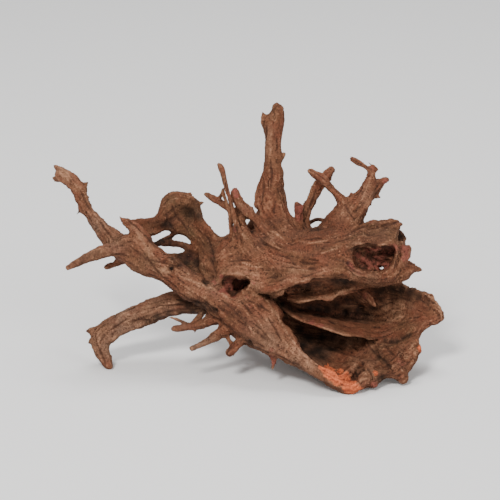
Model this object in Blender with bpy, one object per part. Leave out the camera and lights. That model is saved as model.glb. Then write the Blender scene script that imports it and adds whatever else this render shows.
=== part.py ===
"""Aquarium driftwood root: one weathered, hollowed-out root crown, lying on three worn spots.

The wood is described on a front drawing at full size, in millimetres. A station on it is
(across, down, back, radius): from the sheet's left edge, from its top edge, behind its plane, and
the half width of the wood there. The drawing is a view from DRAWING_DISTANCE that looks down by
DRAWING_PITCH, and wood() turns a station into a place in the object's own frame with +Z up.
"""

import math

import bmesh
import bpy
import numpy as np
from mathutils import Matrix, Vector, noise

MM = 0.001

# The drawing that the stations are read from.
SHEET_SIDE = 500.0
DRAWING_DISTANCE = 2500.0
DRAWING_PITCH = math.radians(20.0)
FLOOR_HEIGHT = -116.0
FLOOR_BLOCK = (900.0, 900.0, 100.0)

# How finely the wood is built, and how often each skin is rounded.
ROUGH_VOXEL = 2.0
FINE_VOXEL = 1.2
ROUGH_ROUNDING = 6
FINE_ROUNDING = 2
HOLLOW_ROUNDING = 1
TRIANGLES = 11400

# A root's section has ridges: (how many, height as a share of the radius, shift, twist for each ring).
ROOT_SIDES = 14
RING_SPACING = 2.2
FEWEST_RINGS = 6
THINNEST = 0.6
RIDGES = ((3, 0.055, 1, 0.05), (5, 0.035, 2, -0.08))
SWELLING = 0.07
SWELLING_PACE = 0.22
HEAD_ON = 0.35

# A shell is a grid of this spacing, thinner at its edges and a little wavy.
SHELL_SPACING = 2.5
EDGE_THICKNESS = 0.55
EDGE_GAIN = 0.15
SHELL_WAVE = 1.2
SHELL_WAVE_PACE = 0.07

# A hollow's cutter has this many layers and rounds off over the last part of its depth.
HOLLOW_LAYERS = 10
ROUND_FROM = 0.8
SMALLEST_END = 0.02

WOOD_COLOUR = (0.20, 0.105, 0.066, 1.0)
WOOD_ROUGHNESS = 0.85

# The heavy wood: what the roots grow from, with soft fillets where pieces meet.
HEAVY_ROOTS = {
    "trunk": [(203, 268, 8, 16), (222, 264, 4, 25), (245, 262, 0, 30), (270, 261, -2, 33),
              (295, 257, -2, 30), (320, 256, -2, 30), (345, 254, -4, 30), (368, 256, -6, 31),
              (386, 255, -8, 31), (398, 259, -10, 23)],
    "tall_root": [(280, 250, 6, 26), (277, 232, 6, 23), (273.5, 218, 5, 18), (272, 208, 4, 15.4),
                  (271.8, 198, 3, 14), (272, 186, 2, 12.6), (272.3, 174, 1, 10.6),
                  (272.3, 160, 0, 9.1), (272.4, 146, -1, 8.5), (273, 134, -2, 8.9),
                  (274, 124, -3, 10), (276.3, 116.5, -4, 8.4), (277.2, 110, -5, 6.7),
                  (276.2, 104.5, -6, 4.6), (275.5, 102, -6, 2)],
    "tall_root_lobe": [(270, 132, -4, 6.5), (266.5, 123, -5, 5.2), (265.5, 117, -6, 3.8)],
    "leaning_root": [(300, 240, 8, 10), (303, 228, 10, 7.5), (306, 214, 11, 5.8), (310, 203, 12, 6),
                     (315, 193, 12, 6.2), (320, 184, 12, 6), (325.5, 177.5, 12, 5.8),
                     (330, 171.5, 12, 5), (332.7, 168, 12, 4)],
    "forked_root": [(332, 242, -2, 20), (341, 228, -3, 18.5), (351, 214, -4, 15), (359.5, 204, -5, 11.5),
                    (365.3, 195, -6, 9.3), (368.8, 186, -7, 6.8), (370.8, 176, -8, 5.2),
                    (371.6, 168.5, -9, 3.8), (371.6, 165, -9, 1.8)],
    "forked_root_arm": [(352, 212, -6, 9), (344, 203, -8, 6.5), (337.5, 196, -10, 5),
                        (331, 188.5, -10, 4.8), (325, 182, -10, 5), (319.5, 177.5, -10, 4.8),
                        (314, 173.8, -10, 4.3), (309.5, 171, -10, 3.6)],
    "forked_root_side": [(364, 198, -4, 7), (370.5, 192, -2, 7), (376, 187.3, 0, 6.8),
                         (380.5, 183.2, 1, 5.2), (385, 180.8, 2, 3.4)],
    "left_limb": [(120, 246, -3, 13), (136, 251, -5, 17.5), (152, 262, -7, 15.5), (168, 271, -8, 13.4),
                  (184, 282, -10, 14), (200, 290, -12, 14), (214, 299.5, -13, 15.5), (230, 309, -14, 19),
                  (247, 320, -18, 22), (264, 331.5, -24, 21), (281, 343, -31, 15), (295, 353, -38, 9)],
    "lower_mass": [(228, 292, -4, 14), (242, 300, -10, 18), (257, 311, -16, 20), (272, 325, -23, 17)],
    "antler_root": [(128, 252, 0, 14), (117, 243, 4, 11.5), (106, 233, 8, 9.4), (96, 222, 12, 7.2),
                    (87.5, 211.5, 16, 6.5), (82, 200, 20, 6.8), (78.5, 190, 24, 7.6),
                    (71.5, 181.5, 27, 7.8), (64, 175.5, 30, 7.4), (57.5, 172.5, 32, 6.8)],
    "left_root": [(128, 252, -8, 10), (116, 249.5, -12, 7.5), (106, 251, -16, 6.2), (96, 254, -20, 5.7),
                  (86, 258.5, -23, 4.9), (76, 263.5, -26, 4), (69.5, 267, -28, 3.2)],
    "leg": [(236, 294, 2, 14), (221, 301, 8, 12.5), (206, 303.5, 15, 11), (191, 303, 20, 10.8),
            (175, 303.5, 23, 11.6),
            (160, 308, 24, 12), (146, 313, 22, 11.8), (132, 318, 20, 11.4), (118, 325, 18, 11.2),
            (107, 332, 16, 11), (101, 340, 14, 9.8), (101.5, 349, 13, 8.4), (104.5, 357, 12, 6.8),
            (108.5, 364, 11, 5), (111.5, 369.5, 10.3, 3.6)],
    "leg_knob": [(102, 334, 16, 8), (94, 331.5, 17, 5.2), (88, 330.3, 18, 3.8), (85.2, 329.7, 18, 2.6)],
    "right_spur": [(398, 268, -6, 11), (407, 268, -4, 8.5), (414, 268.5, -2, 4.8), (419, 269.8, 0, 2.8)],
    "back_root_right": [(318, 258, 14, 16), (322, 256, 34, 12.5), (334, 258, 51, 9.6), (342, 266, 65, 8),
                        (356, 269, 79, 6), (361, 277, 91, 3.8)],
    "back_root_right_fork": [(336, 259, 53, 7), (330, 263, 71, 5.2), (321, 271, 83, 3.4)],
    "back_root_left": [(245, 262, 10, 18), (236, 259, 34, 12.5), (228, 262, 53, 9.4), (221, 262, 69, 7.8),
                       (213, 268, 81, 5.6), (211, 277, 91, 3.6)],
    "back_root_left_fork": [(227, 262, 58, 7), (236, 270, 73, 5), (240, 281, 83, 3.2)],
    "back_root_low": [(262, 300, 8, 16), (258, 311, 32, 11.8), (258, 320, 49, 9), (250, 326, 61, 7.6),
                      (250, 333, 75, 5.2), (246, 337, 84, 3.5)],
    "back_stub_a": [(290, 244, 22, 8), (294, 235, 35, 5.6), (297, 230, 43, 4)],
    "back_stub_b": [(360, 252, 22, 8), (368, 247, 35, 5.6), (373, 242, 43, 3.2)],
    "back_flare_a": [(276, 205, 9, 10), (281, 225, 20, 12), (293, 245, 29, 10), (314, 260, 31, 8),
                     (346, 266, 28, 7), (382, 264, 21, 6)],
    "back_flare_b": [(268, 208, 9, 9), (258, 228, 20, 10), (243, 247, 27, 9), (226, 258, 24, 8),
                     (208, 274, 14, 8)],
    "shell_rib_a": [(298, 268, 22, 9), (311, 286, 42, 8), (321, 304, 54, 7), (330, 320, 58, 6.6),
                    (338, 334, 52, 6), (346, 346, 38, 5)],
    "shell_rib_b": [(346, 266, 24, 9), (360, 284, 42, 8), (372, 302, 46, 7), (380, 318, 42, 6),
                    (386, 334, 28, 5)],
    "shell_rib_c": [(274, 274, 20, 9), (277, 296, 38, 8), (282, 314, 48, 7.4), (292, 332, 46, 6.4),
                    (304, 346, 32, 5)],
    "shell_rib_d": [(384, 270, 19, 8), (398, 286, 23, 6.4), (411, 301, 21, 5.4), (420, 315, 13, 4.4)],
    "limb_rib": [(128, 247, 9, 8), (150, 257, 7, 8), (176, 272, 5, 8), (204, 290, 5, 9), (226, 300, 8, 9)],
    "leg_rib_back": [(208, 303, 26, 6), (180, 300, 33, 5.4), (150, 309, 32, 5.2), (125, 319, 28, 4.8),
                     (109, 329, 24, 4)],
    "leg_rib_front": [(200, 309, 8, 4.4), (184, 310, 13, 4.4), (163, 314, 14, 4.4), (140, 323, 12.5, 4.2),
                      (120, 332, 10, 4), (108, 342, 6, 3.4)],
    "back_foot": [(344, 318, 44, 13), (346, 328, 58, 10.5), (348, 337, 70, 8), (349, 344, 77, 6)],
    "lip": [(322, 375, -45, 5.5), (334, 382, -47.5, 6), (346, 387.5, -49, 6.5), (355, 390, -49, 5.8)],
    "right_underlip": [(366, 279, -22, 8), (384, 278.5, -18, 7.5), (398, 277, -12, 6.6),
                       (409, 273, -6, 4.8)],
    "flow_from_tall_root": [(266, 212, -3, 6), (266, 228, -11, 6.5), (275, 243, -21, 6.5),
                            (294, 256, -29, 6), (322, 262, -32, 5.5), (346, 269, -34, 5),
                            (366, 277, -34, 4)],
    "flow_beside_tall_root": [(281, 212, -4, 5), (287, 228, -11, 5.5), (302, 241, -19, 5.5),
                              (326, 247, -24, 5), (348, 246, -25, 4.5)],
    "flow_from_red_root": [(243, 226, -19, 5), (248, 244, -26, 5.5), (262, 260, -32, 6),
                           (284, 270, -37, 5.5),
                           (310, 275, -39, 5), (334, 273, -38, 4.5)],
    "flow_to_trunk_end": [(356, 214, -9, 6), (352, 227, -15, 6), (364, 237, -20, 5.5), (384, 238, -20, 5),
                          (398, 233, -15, 4)],
    "flow_along_brow": [(258, 286, -32, 6), (274, 288, -36, 5.5), (290, 281, -41, 4.5), (310, 281, -42, 4)],
    "trunk_end_lip": [(346, 261, -33, 3.6), (352, 269, -36, 3.6), (362, 276, -37, 3.6),
                      (375, 279, -35, 3.6),
                      (388, 277, -30, 3.6), (398, 269, -24, 3.6)],
    "flow_to_eye": [(226, 240, -13, 5), (226, 256, -20, 5.5), (222, 270, -22, 5), (217, 284, -20, 5)],
}

# Thin shells of wood: rows of (across, down, back), each row from one side to the other.
HEAVY_SHELLS = {
    "ear": (6.5, [
        [(124, 221, -1), (144, 218.5, 3), (157, 215.5, 7), (160.5, 201, 8), (172, 191.3, 9),
         (187, 192.8, 9),
         (199, 200, 6), (202.5, 217, 3), (219, 234, 0)],
        [(129, 226, 1), (147, 223, 7), (160, 219, 3), (166.5, 208, 0), (175, 201, 0), (186, 203, 2),
         (195, 208, 9), (200, 222, 6), (219, 244, 0)],
        [(131, 229, 1), (148, 226.5, 8), (160, 223, 5), (168, 215, 2), (178, 209, 4), (187, 211, 13),
         (194, 217, 15), (200, 231, 9), (218, 253, 0)],
        [(133, 231, 1), (148, 230, 9), (160, 228.5, 12), (169, 226, 8), (178, 224, 8), (188, 227, 12),
         (197, 236, 10), (205, 249, 6), (218, 263, -1)],
        [(139, 236, -2), (150, 237, 4), (160, 233.5, 8), (168, 231.5, 12), (177, 235, 14), (187, 240, 14),
         (197, 250, 10), (205, 262, 5), (215, 276, -4)]]),
    "brow": (11.0, [
        [(220, 243, 1), (243, 234, -2), (262, 231, -3), (280, 232, -3), (298, 236, -2), (315, 238, -1),
         (332, 237, -2), (350, 234, -4), (366, 231, -5), (382, 230, -4), (396, 233, -3)],
        [(213, 259, -3), (240, 254, -20), (262, 253, -25), (280, 254, -26), (298, 257, -25),
         (315, 258, -24),
         (332, 257, -24), (350, 254, -24), (366, 251, -24), (382, 250, -21), (396, 250, -16)],
        [(213, 276, -8), (240, 272, -24), (262, 272, -30), (280, 272, -32), (298, 271, -33),
         (315, 271, -32),
         (332, 270, -32), (350, 270, -31), (366, 270, -30), (382, 270, -27), (396, 268, -20)],
        [(222, 293, -12), (243, 291, -22), (262, 290, -29), (276, 289, -33), (290, 282, -36),
         (302, 279, -37),
         (316, 280, -37), (332, 277, -36), (346, 277, -35), (362, 283, -33), (380, 284, -29),
         (394, 279, -22)]]),
    "trough": (6.0, [
        [(156, 252.5, 0), (167, 253, 9), (177, 252, 13), (185, 250, 15), (195, 247, 13), (206, 250, 8)],
        [(160, 262, -2), (173, 264, 5), (185, 265, 9), (196, 264, 9), (205, 262, 6), (213, 262, 2)],
        [(168, 272, -6), (182, 275, 0), (194, 277, 2), (204, 277, 0), (212, 276, -4), (219, 276, -8)],
        [(182, 284, -12), (196, 288, -10), (206, 290, -10), (214, 291, -11), (221, 291, -13),
         (227, 290, -15)]]),
    "scoop": (6.5, [
        [(262, 276, 8), (288, 270, 14), (314, 267, 18), (340, 266, 19), (364, 268, 18), (384, 274, 16),
         (402, 284.3, 13), (417, 288.5, 10), (431, 294, 6)],
        [(258, 292, 22), (286, 290, 30), (314, 288, 36), (340, 288, 38), (364, 288, 35), (385, 290, 28),
         (403, 292, 18), (422, 296.5, 11), (437.5, 301, 4)],
        [(256, 306, 28), (284, 306, 40), (312, 306, 48), (338, 306, 49), (362, 306, 44), (385, 306, 34),
         (405, 306, 22), (426, 307, 10), (442.5, 308.5, 1)],
        [(258, 320, 28), (284, 321, 42), (310, 321, 52), (337, 322, 52), (361, 322, 46), (385, 321, 34),
         (406, 320, 20), (427, 319, 7), (446, 319, -4)],
        [(262, 332, 22), (286, 333, 36), (310, 334, 46), (335, 335, 42), (359, 336, 27), (382, 335, 15),
         (401, 331.5, 7), (415, 329.5, -2), (427, 327, -7)],
        [(267, 341, 11), (288, 343, 26), (310, 344, 35), (334, 347, 30), (358, 348, 18), (381, 347, 8),
         (399, 345, -1), (410, 342.5, -6), (418.5, 340, -12)],
        [(272, 346, 2), (289, 348, 16), (309, 351, 23), (333, 354, 19), (357, 356, 9), (380, 357, -2),
         (398, 356, -9), (409, 354, -14), (419.5, 351, -18)],
        [(282, 356, -18), (296, 359, -12), (312, 364, -12), (332, 370, -17), (353, 373, -22),
         (373, 373, -24), (389, 372, -24), (403, 369, -24), (416, 362, -22)],
        [(288, 361, -38), (300, 366, -42), (314, 374, -46), (331, 383, -50), (352, 391, -52),
         (372, 385, -44), (388, 377, -38), (402, 381, -32), (409, 373, -27)]]),
    "strap": (8.0, [
        [(262, 300, -24), (272, 312, -30), (283, 321, -34), (292, 331, -37), (298, 343, -40),
         (304, 354, -42), (313, 362, -44), (323, 368, -46), (336, 371, -46)],
        [(250, 320, -30), (262, 331, -35), (276, 340, -39), (287, 348, -42), (295, 355, -44),
         (304, 362, -46), (313, 369, -49), (325, 377, -52), (340, 382, -53)],
        [(242, 336, -24), (255, 347, -29), (268, 354, -34), (281, 359.5, -37), (292, 362, -40),
         (303, 367, -43), (315, 375, -47), (330, 383, -50), (347, 391, -51)]]),
}

# The hollows: each is an outline on the drawing, cut from one depth to another and narrowing inwards.
HOLLOWS = {
    "trunk_hollow": ((-48, -10, 0.84), [(352, 247.5), (360, 244.5), (369, 242.5), (378, 245.5),
                    (389, 243.5),
                                      (397, 248.5), (396, 260), (391, 270), (381, 274), (368, 273),
                                      (356, 268), (352, 258)]),
    "eye": ((-48, -12, 0.9), [(220, 278), (229, 275.5), (239, 277), (252, 278.5), (248.5, 286),
           (243, 292.5),
                              (237, 295), (232, 299), (228, 295.5), (223, 288)]),
    "eye_depth": ((-30, 8, 0.9), [(234, 278.5), (241, 278), (250, 279.5), (247.5, 286), (242.5, 291),
                                  (236, 292.5), (233, 286)]),
    "end_slit": ((-48, -1, 0.85), [(396.5, 242.5), (396.5, 236), (398.5, 230.5), (403, 227.5), (409, 229),
                                   (409, 238), (405, 242)]),
    "trunk_leak": ((-30, 60, 0.9), [(378.3, 267.3), (381.5, 265.2), (384.8, 266.8), (384.8, 269.4),
                                    (381.5, 271), (378.3, 269.8)]),
}
HOLLOW_TUNNELS = {
    "trunk_end": [(384, 252, -16, 9), (393, 243, -12, 6), (401, 235, -8, 5.2), (408, 228, -4, 5)],
}

# Wood that is added after the hollows: ridges, slats inside the hollows, twigs and thorns.
FINE_ROOTS = {
    "limb_ridge": [(133, 228, -13, 5), (142, 236, -15, 4.6), (152, 246, -16, 4.2), (168, 258, -16, 4.2),
                   (184, 269, -18, 4), (200, 281, -20, 4), (216, 292, -22, 4)],
    "limb_horn": [(150, 243, -10, 5), (140, 233, -11, 6), (133, 226.5, -11, 5.6), (126, 222, -11, 3.8),
                  (121, 218, -11, 2), (118.8, 216.3, -11, 1)],
    "small_root": [(134, 258.5, 2, 5), (124, 260, 4, 3.8), (116, 262.5, 6, 3.3), (109.5, 265.5, 8, 3.2),
                   (104.6, 268.6, 10, 2.5)],
    "tall_root_swell": [(266, 174, 0, 4), (263.5, 184, 0, 5.5), (262, 195, 0, 6), (260, 209, 0, 6)],
    "tall_root_corner": [(265.5, 120, -5, 4), (263.3, 114.5, -6, 2.2), (262.3, 111.6, -6, 1)],
    "tall_root_notch": [(266.5, 119, -6, 3), (267.7, 113.6, -6, 1.4)],
    "tall_root_thorn": [(278, 161, 0, 3.6), (282.7, 156, -1, 2.4), (285.7, 153, -2, 1.3)],
    "twig_long": [(239, 246, -16, 6), (237.5, 236, -20, 3.6), (234.7, 220, -24, 2.9), (232, 207, -25, 2.8),
                  (227.5, 191, -24, 2.7), (224.3, 179, -22, 2.7), (221.8, 169, -20, 2.9),
                  (219.5, 165, -19, 2.6),
                  (216.8, 163.8, -19, 1.6)],
    "twig_slat": [(232, 240, -10, 4), (231, 228, -12, 3), (229.3, 214, -14, 2.4), (226.4, 203, -16, 2),
                  (224, 195, -18, 1.7), (222.5, 188, -19, 1.5)],
    "twig_left": [(238, 220, -8, 5), (231, 211, -9, 4.2), (225, 206, -10, 3.8), (218, 201.5, -10, 3.4),
                  (211, 197.5, -10, 3.2), (206.5, 194.3, -10, 2.6), (204.8, 193, -10, 1.8)],
    "twig_link": [(218, 201, -10, 2.6), (221.5, 195, -14, 2), (223, 190, -17, 1.8)],
    "twig_red": [(272, 244, -14, 12), (264, 231, -13, 8), (257, 221.5, -12, 5.6), (250, 214.5, -12, 5),
                 (242.3, 207.5, -13, 5.8), (237, 199, -14, 5), (234.8, 192.5, -14, 4.2),
                 (234.3, 189, -14, 3.5)],
    "twig_web": [(248, 250, -12, 9), (245.5, 236, -11, 5.5), (242.5, 225, -10, 4.6), (239.5, 215, -10, 4)],
    "twig_thorn": [(250.5, 212, -13, 2.6), (252.5, 206.5, -13, 1.2)],
    "red_stub": [(300, 230, -2, 6), (299, 218, -3, 4.2), (299, 209, -4, 3.8), (299, 204.5, -4, 3)],
    "red_stub_wisp": [(296.8, 211, -5, 1.8), (295.8, 203, -6, 1.3), (300.5, 201.3, -6, 1.1)],
    "red_stub_tooth": [(302, 211, -4, 1.9), (303.2, 204.5, -4, 1.1)],
    "leaning_tip": [(331, 171, 12, 4), (334.4, 167.5, 12, 2.2)],
    "leaning_thorn": [(329, 176, 12, 2.6), (332.3, 180.5, 12, 1.2)],
    "arm_tip": [(312, 171.5, -10, 3.2), (307.5, 169.8, -10, 2.3)],
    "arm_thorn": [(316, 177.5, -10, 3), (311.5, 176.5, -10, 1.6)],
    "fork_thorn": [(350, 203, -4, 3), (350.6, 197, -4, 2.6), (351.6, 191.8, -4, 1.7)],
    "fork_hook": [(370, 170, -9, 3.2), (366, 167.5, -10, 2.3), (361, 164.3, -11, 2.9), (355, 161, -12, 3.3),
                  (350.3, 158.1, -12, 2.5)],
    "fork_spine": [(371, 166, -9, 2.4), (375.3, 168, -9, 1.9), (378.8, 172, -9, 1.3)],
    "side_tip": [(384, 180.6, 2, 3.2), (389.8, 178.9, 3, 1.7)],
    "side_thorn": [(371, 196.5, -2, 3.4), (376, 197, -1, 2.4), (381.2, 197.8, 0, 1.8)],
    "side_bump": [(367, 203, -3, 4), (372, 204.5, -2, 2)],
    "antler_horn_top": [(60, 170, 31, 4), (56, 167.5, 32, 2.2), (52.9, 166.2, 33, 0.9)],
    "antler_horn_low": [(60, 178, 31, 4), (55, 179, 33, 2.3), (52.4, 175.7, 34, 0.9)],
    "antler_thorn": [(82, 188, 23, 4), (86, 184, 23, 2.4), (89, 181, 23, 1)],
    "antler_barb": [(80, 210, 18, 3), (77.5, 214, 18, 1.6), (75.3, 217.3, 18, 0.8)],
    "left_root_tip": [(71, 266.3, -27.5, 3), (66, 269, -29, 1.9)],
    "leg_thorn": [(97, 336, 15, 6), (92, 340.5, 14, 3), (87.6, 343.6, 13, 1)],
    "foot_thorn": [(107, 356, 12, 3.5), (112.7, 356.8, 12, 1.9)],
    "low_root_a": [(222, 315, -8, 9), (211, 320, -12, 7), (202, 324, -15, 4.8), (193, 327, -18, 3.7),
                   (184, 328, -20, 3.2), (176, 328.8, -22, 3.2), (171.5, 328.5, -23, 2.4)],
    "low_root_a_slat": [(192, 326, -18, 2.6), (184, 322.5, -22, 2.1), (176, 319, -25, 1.8),
                        (168.5, 316.8, -27, 1)],
    "low_root_a_strand": [(190, 326, -16, 2.6), (197, 319.5, -10, 2.9), (203, 312, -4, 3.3),
                          (209, 305, 0, 4)],
    "low_root_a_thorn": [(195, 329, -18, 1.7), (195, 335, -19, 0.9)],
    "low_root_b": [(232, 322, -16, 9), (222, 332, -20, 6.4), (213, 338.3, -24, 4), (204, 343, -27, 3.2),
                   (196, 346.8, -30, 3), (189.5, 348.8, -32, 2)],
    "low_root_b_thorn": [(192.5, 349, -31, 1.2), (192.7, 353, -31, 0.8)],
    "low_root_c": [(252, 328, -18, 10), (244, 338.5, -22, 6.5), (237, 345.5, -25, 4.7),
                   (231, 351, -28, 4.1),
                   (227.5, 354.5, -30, 3.6)],
    "low_root_link": [(223, 334, -20, 3), (229, 339.5, -21, 2.2), (232, 346, -24, 2.5)],
    "low_thorn": [(272, 350, -30, 6), (273.5, 358, -32, 3.8), (273.3, 364, -33, 2.2),
                  (272.6, 371.3, -34, 0.9)],
    "ear_thorn": [(199, 202.5, 6, 2.8), (204.6, 202.3, 6, 1.3)],
    "ear_barb": [(189, 196, 9, 2.8), (190.8, 192, 9, 1.4)],
    "window_strand": [(176, 231.5, 15, 3.4), (170, 236.5, 15, 3), (163, 239.8, 14, 2.8), (155, 243, 10, 3)],
    "window_band": [(141, 242.5, -2, 5), (152, 244, 7, 3.6), (163, 243.5, 15, 3.4), (174, 243.3, 18, 3.4),
                    (186, 246, 17, 3.8), (197, 251, 12, 5)],
    "gap_root": [(300, 232, 22, 5), (308, 224.5, 26, 2.7), (314, 220.5, 28, 2.1), (319, 219.5, 28, 2.1),
                 (326, 221.5, 24, 3), (336, 226, 14, 6)],
    "roof_ridge": [(358, 234, -10, 8), (370, 227.8, -11, 7), (381, 226.6, -12, 6.6), (391, 226.5, -12, 6.4),
                   (398, 229, -12, 5)],
    "roof_tip": [(384, 230, -8, 9), (391, 224.5, -10, 5.6), (398, 224, -12, 3.6), (403, 223.5, -13, 2.4)],
    "roof_knob": [(388, 226, -12, 5), (391, 221.5, -13, 3)],
    "end_spike": [(396, 250, 8, 6), (399.5, 240, 8, 3.6), (402.3, 230, 8, 1)],
    "end_chunk": [(394, 271, -12, 7), (401, 262, -15, 6.6), (405, 253, -16, 6), (405.5, 246.5, -16, 5)],
    "spur_tip": [(417, 269, 0, 3.4), (423.4, 270.5, 2, 1.2)],
    "lip_knob": [(272, 290, -26, 9), (279, 291, -28, 6), (283, 293.5, -29, 3.5)],
    "torn_lump_a": [(337, 381, -47, 4), (344, 377, -40, 5), (351, 372, -30, 5), (357, 367, -20, 4.5)],
    "torn_lump_b": [(352, 389, -50, 4), (359, 385, -48, 6), (366, 380, -41, 7), (369, 373, -31, 6.5),
                    (370, 366, -22, 5)],
    "torn_lump_c": [(372, 388, -45, 3), (376, 381, -38, 4.4), (379, 375, -31, 4), (381, 369, -24, 3.5)],
    "low_knob": [(396, 366, -22, 8), (401, 375, -27, 6.4), (404, 382, -31, 3.6)],
    "rim_knob": [(414, 351, -18, 4), (421, 349, -19, 2.2)],
    "crack_ridge": [(366, 341, 16, 3), (372, 350, 6, 3.4), (380, 358, -4, 3.2), (386, 366, -14, 3)],
    "floor_ridge": [(322, 352, 20, 3), (340, 357, 10, 3.4), (358, 360, -2, 3.2), (372, 366, -14, 3)],
    "wall_knob": [(386, 322, 37, 4), (398, 316, 30, 5), (410, 313, 22, 4)],
    "hole_ledge_a": [(366, 243, -15, 4), (372, 249.5, -20, 2.8), (380, 249, -22, 2.4), (387, 247, -21, 2.6),
                     (394, 247, -17, 4)],
    "hole_ledge_b": [(357, 253, -8, 5), (363, 259, -14, 4.4), (369, 263, -16, 3.6), (371, 269, -18, 3.4),
                     (368, 276, -20, 4)],
    "hole_ledge_c": [(374, 256, -9, 5), (381, 258, -13, 4), (388, 257, -14, 4), (394, 260, -14, 4)],
    "hole_lip_flake": [(346.3, 261.5, -39, 1.6), (350, 267, -41, 2.2), (356, 272.5, -43, 2.6),
                       (364, 275.5, -43, 2.6), (373, 276.5, -41, 2.4), (381, 274.5, -37, 2)],
    "fin_stem": [(346, 284, 18, 5), (353, 291, 14, 4), (357, 298, 13, 3)],
}
# How flat a root is from front to back, where it isn't round.
FLAT_ROOTS = {"end_spike": 0.6}

FINE_SHELLS = {
    "upper_slat": (2.8, [
        [(284, 298.5, -8), (291, 302.5, -12), (298, 304.5, -14), (306, 302.5, -14), (314, 300.5, -15),
         (323, 301.5, -16), (331, 302, -16), (336, 297, -15), (344, 294, -12), (352, 293.5, -10),
         (358, 290.5, -9), (366, 288, -7)],
        [(286, 293, -3), (292, 296, -6), (299, 297, -7), (307, 295.5, -7), (315, 294, -8), (323, 294, -9),
         (331, 293.5, -9), (337, 290.5, -8), (345, 288.5, -6), (352, 287.5, -4), (359, 285.5, -2),
         (367, 284, 0)],
        [(288, 288, 6), (294, 288, 7), (301, 288, 7), (308, 287, 5), (316, 286.5, 3), (324, 286, 2),
         (332, 285, 2), (338, 283.5, 3), (346, 282.5, 5), (353, 281.5, 6), (360, 280.5, 7), (368, 279, 8)],
        [(290, 281, 16), (296, 280, 17), (303, 279, 17), (310, 278, 15), (317, 277.5, 12), (325, 277, 11),
         (333, 276.5, 11), (339, 276, 12), (347, 275.5, 13), (354, 275, 14), (361, 274, 15),
         (368, 273, 16)]]),
    "lower_slat": (3.2, [
        [(277, 303, 4), (288, 313, -2), (299, 320, -8), (309, 323.5, -13), (318, 327, -16),
         (328, 330.5, -18),
         (338, 333.5, -17), (349, 335.8, -13), (360, 337.5, -7), (371, 340, 0), (379, 338.8, 7),
         (386, 336, 16)],
        [(276, 300, 22), (288, 306, 20), (299, 313, 18), (310, 315, 14), (320, 317, 11), (331, 321, 8),
         (342, 325, 7), (353, 327.5, 9), (364, 329, 12), (373, 330, 15), (381, 331, 18), (389, 331, 22)],
        [(276, 297, 40), (288, 302, 44), (299, 308, 48), (312, 311, 48), (325, 314, 46), (340, 317, 44),
         (352, 319, 41), (362, 320.5, 38), (372, 322, 34), (380, 324, 30), (387, 325, 28),
         (393, 326, 26)]]),
    "right_chunk": (5.0, [
        [(383, 342, 2), (391, 344.5, -6), (401, 343, -12), (411, 338, -15), (419, 334, -15)],
        [(379, 350, -2), (389, 353, -12), (401, 352, -19), (411, 349, -21), (419, 347, -20)],
        [(382, 360, -11), (391, 363, -19), (401, 362, -25), (410, 359, -26), (417, 356, -23)],
        [(388, 370, -23), (395, 373, -27), (402, 373, -29), (408, 369, -28), (412, 365, -26)]]),
    "hanging_fin": (2.6, [
        [(351, 288, 10), (358, 287, 5), (364, 289, 1), (369, 294, -2), (373, 297.5, -4)],
        [(352, 296, 13), (358, 296.5, 8), (364, 297.5, 4), (370, 299.5, 0), (375, 301.5, -3)],
        [(356, 303, 16), (361, 303.5, 11), (367, 304.5, 6), (372, 306.5, 1), (376.5, 308.5, -3)]]),
}


def wood(across, down, back):
    """A point of the drawing in the object's frame, in millimetres."""
    sight = 1 + back / DRAWING_DISTANCE
    x = (across - SHEET_SIDE / 2) * sight
    up = (SHEET_SIDE / 2 - down) * sight
    c, s = math.cos(DRAWING_PITCH), math.sin(DRAWING_PITCH)
    return Vector((x, back * c + up * s, up * c - back * s))


LINE_OF_SIGHT = Vector((0, math.cos(DRAWING_PITCH), -math.sin(DRAWING_PITCH)))


def spline(p0, p1, p2, p3, t):
    """The smooth curve from p1 to p2, led by the points on both sides, at t from 0 to 1."""
    return 0.5 * (2 * p1 + (p2 - p0) * t + (2 * p0 - 5 * p1 + 4 * p2 - p3) * t * t
                  + (3 * p1 - p0 - 3 * p2 + p3) * t ** 3)


def curve_through(stations, at):
    """The smooth curve through the stations, at parameter 0 to 1."""
    spans = len(stations) - 1
    place = at * spans
    i = min(int(place), spans - 1)
    p1, p2 = stations[i], stations[i + 1]
    p0 = stations[i - 1] if i else 2 * p1 - p2
    p3 = stations[i + 2] if i + 2 <= spans else 2 * p2 - p1
    return spline(p0, p1, p2, p3, place - i)


def drawn(stations):
    """Stations as rows of x, y, z and radius in the object's frame."""
    return [np.array([*wood(*s[:3]), s[3] if len(s) > 3 else 0.0]) for s in stations]


def length_of(line):
    return sum(np.linalg.norm(b[:3] - a[:3]) for a, b in zip(line, line[1:]))


def section_axes(along):
    """Two directions square to a root: one across the line of sight, one behind it."""
    across = along.cross(LINE_OF_SIGHT)
    if across.length < HEAD_ON:
        across = along.cross(Vector((0, 0, 1)))
    across.normalize()
    return across, across.cross(along)


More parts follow.
